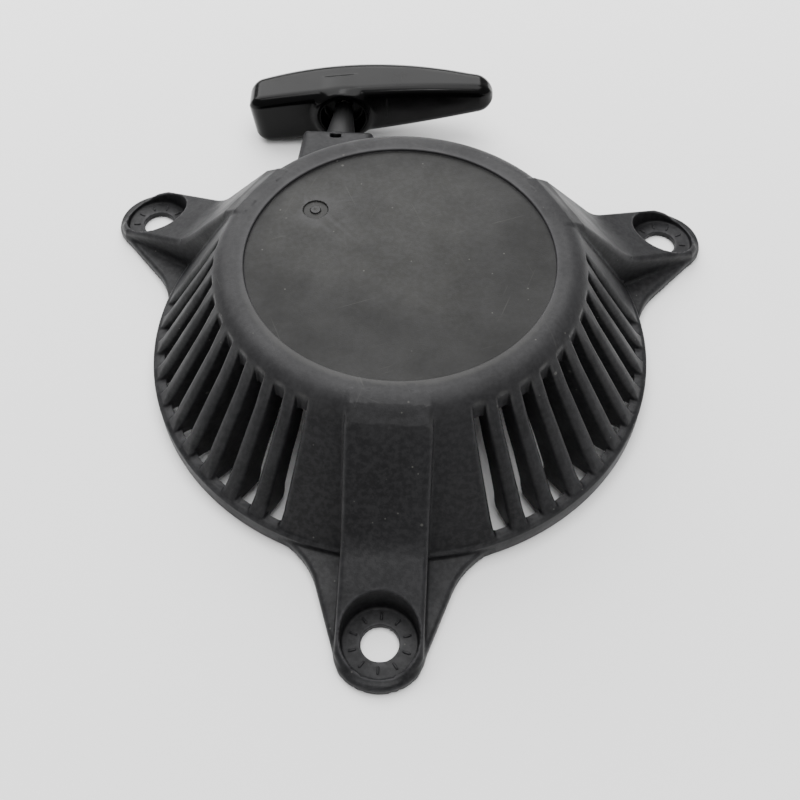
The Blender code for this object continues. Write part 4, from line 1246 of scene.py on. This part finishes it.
def polygon_distance(x, y, outline):
    """Distance to a closed outline, negative inside: the least distance to any side, with its
    sign from how often a level ray crosses the sides."""
    least = np.full(np.shape(x), np.inf)
    inside = np.zeros(np.shape(x), bool)
    for (ax, ay), (bx, by) in zip(outline, np.roll(outline, -1, 0)):
        ex, ey = bx - ax, by - ay
        share = np.clip(((x - ax) * ex + (y - ay) * ey) / max(ex * ex + ey * ey, 1e-12), 0, 1)
        least = np.minimum(least, (x - ax - ex * share) ** 2 + (y - ay - ey * share) ** 2)
        crossed = (ay > y) != (by > y)
        inside ^= crossed & (x < ax + ex * (y - ay) / (ey if ey else 1e-12))
    return np.where(inside, -1.0, 1.0) * np.sqrt(least)


def slab(z, low, high):
    return np.abs(z - (low + high) / 2) - (high - low) / 2


def pulley_field(x, y, z):
    """Hub, two flanges with a groove between them, two pawl pins, and shallow pockets between
    radial ribs under the lower flange."""
    r = np.hypot(x, y)
    low, high = PULLEY_LOW[2] + 3.9, ROPE_Z + 3.9
    flanges = edge(r - PULLEY_HIGH[0], slab(z, low, high), 0.6)
    groove = edge(edge(13.4 - r, slab(z, ROPE_Z - 2.1, ROPE_Z + 2.1), 0.4), r - 60.0, 0.1)
    body = cut(flanges, groove, 0.4)
    hub = edge(r - 12.0, slab(z, ROPE_Z, PULLEY_HIGH[2]), 0.4)
    foot = edge(r - 10.5, slab(z, 8.4, ROPE_Z), 0.3)
    body = join(join(body, hub, 0.6), foot, 0.4)
    pin = edge(np.hypot(np.abs(x) - PIN_CIRCLE, y) - 2.0, slab(z, PULLEY_LOW[2], low + 1.0), 0.3)
    body = np.minimum(body, pin)
    spoke = TURN / 18
    beside = r * np.sin(np.abs(np.mod(np.arctan2(y, x), spoke) - spoke / 2))
    pocket = edge(edge(np.maximum(24.9 - r, r - 33.2), 0.55 - beside, 0.5), z - low - 0.55, 0.3)
    body = cut(body, pocket, 0.25)
    knot = np.hypot(x - KNOT_AT[0], y - KNOT_AT[1]) - 3.0
    body = cut(body, np.maximum(knot, slab(z, ROPE_Z - 3.0, ROPE_Z + 5.1)), 0.3)
    notch = np.maximum(np.maximum(np.abs(y) - 1.0, 9.6 - x), 21.5 - z)
    return cut(cut(body, r - 7.1, 0.3), notch, 0.2)


def leave_point(r):
    """Where the rope leaves its coil, the angle of that tangent point, and the guide's mouth."""
    mouth = np.array([ROPE_X, GUIDE_LOW[1] - 1.0])
    angle = math.atan2(mouth[1], mouth[0]) + math.acos(r.coil_radius / np.linalg.norm(mouth))
    return r.coil_radius * np.array([math.cos(angle), math.sin(angle)]), angle, mouth


class STARTER_OT_pulley(bpy.types.Operator):
    """Nets the pulley from its field on rings about the axis"""

    bl_idname = "starter.pulley"
    bl_label = "Pulley"

    def execute(self, context):
        radii = np.concatenate([steps(6.2, 14.4, 0.35), steps(14.8, 34.0, 0.48), steps(34.3, 36.2, 0.3)])
        levels = np.concatenate([steps(4.7, 17.6, 0.35), steps(18.2, 32.6, 0.8), steps(32.9, 34.3, 0.35)])
        angles = np.arange(432) / 432 * TURN
        lines = radii, angles, levels
        net_piece("rope_pulley", pulley_field, lines, "pulley_plastic", "pulley", "pulley", 90000, about_axis)
        return {"FINISHED"}


class STARTER_OT_recoil_spring(bpy.types.Operator):
    """A flat steel strip wound in a spiral, its inner end bent into the hub's notch"""

    bl_idname = "starter.recoil_spring"
    bl_label = "Recoil spring"

    def execute(self, context):
        low, high = corners("recoil_spring")
        t = np.linspace(0, 1, 900)
        r, angle = 14.2 + (high[0] - 14.2) * t, 6 * TURN * t + 0.12
        hook = np.array([(10.4, 0.0), (11.0, 0.02), (11.8, 0.05), (12.6, 0.12), (13.3, 0.25)])
        plan = np.concatenate([hook, np.stack([r * np.cos(angle), r * np.sin(angle)], -1)])
        path = np.column_stack([plan, np.full(len(plan), (low[2] + high[2]) / 2)])
        half = (high[2] - low[2]) / 2
        strip = rounded_outline(square(-0.25, 0.25, -half, half), [0.1] * 4, 2)
        section = np.broadcast_to(strip, (len(path), *strip.shape))
        swept_piece("power_spring", path, section, "spring_steel", "case", "recoil_spring")
        return {"FINISHED"}


def cover_field(x, y, z):
    """A flat ring with three round lugs, a hole in each, and a shallow pressed groove."""
    low, high = COVER_LOW[2], COVER_HIGH[2]
    r = np.hypot(x, y)
    u, v = fold_thirds(x, y, BACK)
    u = u - BOSS_CIRCLE
    plan = join(r + COVER_LOW[1], np.maximum(np.hypot(np.maximum(u, 0), v) - 3.4, -6.7 - u), 1.2)
    plan = edge(plan, 12.8 - r, 0.1)
    plan = edge(plan, 1.7 - np.hypot(u, v), 0.1)
    groove = np.hypot(r - 29.5, z - low) - 0.45
    return cut(edge(plan, slab(z, low, high), 0.22), groove, 0.1)


def screw_field(x, y, z, centre, low, high, slot_half):
    """A pan head over a threaded core, with a cross recess. The thread is a rounded ridge whose
    height follows the turn about the axis plus the climb over the pitch."""
    out = np.hypot(x - centre[0], y - centre[1])
    head = edge(out - 2.4, slab(z, low, low + 1.7), 0.5)
    climb = (z / 0.8 + np.arctan2(y - centre[1], x - centre[0]) / TURN) * TURN
    core = np.maximum(out - 1.02 - 0.1 * np.cos(climb), slab(z, low + 1.0, high))
    across = np.minimum(np.abs(x - centre[0]), np.abs(y - centre[1])) - slot_half
    recess = np.maximum(np.maximum(across, out - 1.5), z - low - 0.9)
    return cut(np.minimum(head, edge(core, z - high, 0.2)), recess, 0.12)


class STARTER_OT_spring_cover(bpy.types.Operator):
    """The steel plate that holds the spring in, and its three screws"""

    bl_idname = "starter.spring_cover"
    bl_label = "Spring cover and screws"

    def execute(self, context):
        radii = np.concatenate([steps(12.2, 14.0, 0.25), steps(14.6, 28.0, 1.2), steps(28.4, 42.4, 0.3)])
        angles, levels = np.arange(540) / 540 * TURN, steps(19.4, 21.4, 0.2)
        lines = radii, angles, levels
        net_piece("spring_plate", cover_field, lines, "zinc_steel", "case", "spring_cover", 40000, about_axis)
        for k in range(3):
            node = f"cover_screw_{k + 1}"
            low, high = corners(node)
            centre = (low + high) / 2

            def field(x, y, z, centre=centre, low=low, high=high):
                return screw_field(x, y, z, centre, low[2], high[2], 0.32)

            axes = [steps(a - 0.4, b + 0.4, 0.17) for a, b in zip(low, high)]
            net_piece(f"plate_screw_{k + 1}", field, axes, "zinc_steel", "case", node, 12000)
        return {"FINISHED"}


def pawl_stand(k):
    """Turns a pawl's own plan onto its pin: half a turn for the second, then 96 degrees back."""
    side = math.pi * k
    heading = side - math.pi / 2 - PAWL_AT_REST
    c, s = math.cos(heading), math.sin(heading)
    pin = PIN_CIRCLE * np.array([math.cos(side), math.sin(side), 0.0])
    return lambda p: np.stack([c * p[:, 0] - s * p[:, 1], s * p[:, 0] + c * p[:, 1], p[:, 2]], 1) + pin


def pawl_outline():
    t = np.linspace(math.pi / 2, 3 * math.pi / 2, 17)
    back = np.stack([4.2 * np.cos(t), 4.2 * np.sin(t)], -1)
    nose = np.array([(4.0, -3.6), (11.0, -1.6), (13.5, 0.3), (13.1, 2.6), (6.0, 3.4)])
    return np.concatenate([back, nose])


class STARTER_OT_pawls(bpy.types.Operator):
    """Two pawls on their pins, each with a peg for the ratchet guide and a light wire spring"""

    bl_idname = "starter.pawls"
    bl_label = "Pawls"

    def execute(self, context):
        outline = pawl_outline()
        low, high = corners("pawl_1")

        def field(x, y, z):
            plan = polygon_distance(x, y, outline)
            arm = edge(plan, slab(z, low[2] + 2.0, high[2]), 0.35)
            peg = edge(np.hypot(x - PEG_OUT, y) - 1.2, slab(z, low[2], low[2] + 3.0), 0.25)
            return cut(join(arm, peg, 0.3), np.hypot(x, y) - 2.15, 0.2)

        axes = (steps(-5.0, 14.3, 0.22), steps(-5.0, 5.0, 0.22), steps(low[2] - 0.5, high[2] + 0.5, 0.22))
        near, far = corners("pawl_spring_1")
        t = np.linspace(0, 1, 90)
        height = near[2] + 0.4 + (far[2] - near[2] - 0.8) * t
        p = np.arange(12) / 12 * TURN
        section = np.broadcast_to(0.4 * np.stack([np.cos(p), np.sin(p)], -1), (len(t), 12, 2))
        for k, pin in enumerate((PIN_CIRCLE, -PIN_CIRCLE)):
            node = f"pawl_{k + 1}"
            net_piece(f"drive_pawl_{k + 1}", field, axes, "pawl_steel", node, node, 20000, turn=pawl_stand(k))
            wire = np.stack([pin + 2.7 * np.cos(6.0 * t), 2.7 * np.sin(6.0 * t), height], -1)
            swept_piece(f"pawl_wire_{k + 1}", wire, section, "spring_steel", "pulley", f"pawl_spring_{k + 1}")
        return {"FINISHED"}


def cam_slot_distance(x, y):
    """Distance to the two curved slots: the line that a peg draws on the plate while the pawl
    swings out 27 degrees and the plate lags 30, widened to the peg's size, and its half-turn twin."""
    share = np.arange(9) / 8
    arm = -math.pi / 2 - PAWL_AT_REST + PAWL_SWING * share
    px, py = PIN_CIRCLE + PEG_OUT * np.cos(arm), PEG_OUT * np.sin(arm)
    lag = -GUIDE_LAG * share
    path = np.stack([px * np.cos(lag) - py * np.sin(lag), px * np.sin(lag) + py * np.cos(lag)], -1)
    least = np.full(np.shape(x), np.inf)
    for way in (1, -1):
        for (ax, ay), (bx, by) in zip(path * way, path[1:] * way):
            ex, ey = bx - ax, by - ay
            t = np.clip(((x - ax) * ex + (y - ay) * ey) / (ex * ex + ey * ey), 0, 1)
            least = np.minimum(least, np.hypot(x - ax - ex * t, y - ay - ey * t))
    return least - 1.65


class STARTER_OT_centre(bpy.types.Operator):
    """Ratchet guide, friction spring, thrust washer and centre screw"""

    bl_idname = "starter.centre"
    bl_label = "Ratchet guide and centre screw"

    def execute(self, context):
        low, high = corners("ratchet_guide")

        def plate(x, y, z):
            r = np.hypot(x, y)
            plan = edge(np.maximum(r - high[0], 3.0 - r), -cam_slot_distance(x, y), 0.1)
            body = edge(plan, slab(z, low[2], high[2]), 0.35)
            dish = edge(edge(np.maximum(7.2 - r, r - 12.4), z - low[2] - 0.35, 0.2), r - 60.0, 0.1)
            return cut(body, dish, 0.15)

        radii = np.concatenate([steps(2.4, 13.0, 0.4), steps(13.3, 24.9, 0.26)])
        angles, levels = np.arange(560) / 560 * TURN, steps(low[2] - 0.4, high[2] + 0.4, 0.22)
        lines, node = (radii, angles, levels), "ratchet_guide"
        net_piece("pawl_plate", plate, lines, "pulley_plastic", node, node, 60000, about_axis)
        self.washers()
        low, high = corners("centre_screw")

        def screw(x, y, z):
            r = np.hypot(x, y)
            head = edge(r - high[0], slab(z, low[2], low[2] + 2.2), 0.45)
            climb = (z + np.arctan2(y, x) / TURN) * TURN
            core = np.maximum(r - 2.15 - 0.14 * np.cos(climb), slab(z, low[2] + 1.0, high[2]))
            slot = np.maximum(np.maximum(np.abs(y) - 0.5, np.abs(x) - 3.0), z - low[2] - 1.2)
            return cut(np.minimum(head, core), edge(slot, z - low[2] - 1.2, 0.1), 0.15)

        across = steps(-6.3, 6.3, 0.2)
        levels = np.concatenate([steps(0.1, 3.3, 0.2), steps(3.6, 23.5, 0.25)])
        lines = across, across, levels
        net_piece("shaft_screw", screw, lines, "zinc_steel", "case", "centre_screw", 40000)
        return {"FINISHED"}

    def washers(self):
        """The friction spring is a wave washer: its height follows the cosine of three times the
        turn. The thrust washer is flat."""
        low, high = corners("friction_spring")
        middle_z, rise = (low[2] + high[2]) / 2, (high[2] - low[2]) / 2 - 0.25

        def wave(p):
            height = rise * np.cos(3 * np.arctan2(p[:, 1], p[:, 0]))
            return p + np.stack([0 * height, 0 * height, height], 1)

        ring = square(5.2, high[0], middle_z - 0.25, middle_z + 0.25)
        turned_piece("wave_washer", ring, [0.1] * 4, 96, wave, "spring_steel", "case", "friction_spring")
        low, high = corners("thrust_washer")
        ring = square(2.9, high[0], low[2], high[2])
        turned_piece("shaft_washer", ring, [0.2] * 4, 96, stay, "zinc_steel", "case", "thrust_washer")


# --------------------------------------------------------------------------- stage


def area_light(name, place, aim, size, watts):
    data = bpy.data.lights.new(name, "AREA")
    data.shape = "RECTANGLE"
    data.size, data.size_y = size
    data.energy = watts
    light = bpy.data.objects.new(name, data)
    light.location = place
    light.rotation_euler = (Vector(aim) - Vector(place)).to_track_quat("-Z", "Y").to_euler()
    bpy.context.scene.collection.objects.link(light)


class STARTER_OT_stage(bpy.types.Operator):
    """Pale floor, soft lights and the camera"""

    bl_idname = "starter.stage"
    bl_label = "Floor, lights and camera"

    def execute(self, context):
        scene, s = context.scene, context.scene.starter_stage
        half, under = 3.0, -0.0002
        mesh = bpy.data.meshes.new("floor")
        plan = square(-half, half, -half, half)
        mesh.from_pydata([(x, y, under) for x, y in plan], [], [(0, 1, 2, 3)])
        floor = bpy.data.objects.new("floor", mesh)
        scene.collection.objects.link(floor)
        mesh.materials.append(floor_finish(s.floor))
        area_light("light_top", (0.05, 0.10, 0.95), (0, 0, 0), (0.9, 0.7), s.top_light)
        area_light("light_back", (-0.24, 0.72, 0.70), (0, 0.02, 0.02), (1.3, 0.85), s.back_light)
        area_light("light_front", (0.02, -0.45, 0.80), (0, 0.05, 0), (0.16, 0.1), s.front_light)
        world = bpy.data.worlds.new("room")
        world.use_nodes = True
        sky = world.node_tree.nodes["Background"]
        sky.inputs["Color"].default_value = (1, 1, 1, 1)
        sky.inputs["Strength"].default_value = s.room_light
        scene.world = world
        data = bpy.data.cameras.new("camera")
        data.sensor_width = 36.0
        data.lens = s.lens
        data.clip_start = 0.01
        camera = bpy.data.objects.new("camera", data)
        back, turn = s.camera_back * MM, s.camera_turn
        camera.location = (back * math.sin(turn), -back * math.cos(turn), s.camera_up * MM)
        camera.rotation_euler = (math.pi / 2 - s.camera_tilt, 0, turn)
        scene.collection.objects.link(camera)
        scene.camera = camera
        return {"FINISHED"}


# --------------------------------------------------------------------------- panel and main


OPERATORS = (
    STARTER_OT_stage,
    STARTER_OT_case,
    STARTER_OT_seat_ticks,
    STARTER_OT_rope_guide,
    STARTER_OT_grip,
    STARTER_OT_rope,
    STARTER_OT_pulley,
    STARTER_OT_recoil_spring,
    STARTER_OT_spring_cover,
    STARTER_OT_pawls,
    STARTER_OT_centre,
)


class STARTER_PT_panel(bpy.types.Panel):
    """Lists the pieces and what can be set"""

    bl_idname = "STARTER_PT_panel"
    bl_label = "Recoil starter"
    bl_space_type = "VIEW_3D"
    bl_region_type = "UI"
    bl_category = "Starter"

    def draw(self, context):
        scene = context.scene
        for key in SETTINGS:
            box = self.layout.box()
            group = getattr(scene, key)
            for prop in type(group).__annotations__:
                box.prop(group, prop)
        for operator in OPERATORS:
            self.layout.operator(operator.bl_idname)


SETTINGS = {
    "starter_case": CaseSizes,
    "starter_grip": GripSizes,
    "starter_rope": RopeSizes,
    "starter_colours": StarterColours,
    "starter_stage": StageSettings,
}
CLASSES = (*SETTINGS.values(), *OPERATORS, STARTER_PT_panel)


def register():
    for made in CLASSES:
        bpy.utils.register_class(made)
    for key, group in SETTINGS.items():
        setattr(bpy.types.Scene, key, bpy.props.PointerProperty(type=group))


def unregister():
    for key in SETTINGS:
        delattr(bpy.types.Scene, key)
    for made in reversed(CLASSES):
        bpy.utils.unregister_class(made)


def main():
    register()
    for operator in OPERATORS:
        group, call = operator.bl_idname.split(".")
        getattr(getattr(bpy.ops, group), call)()


if __name__ == "__main__":
    main()
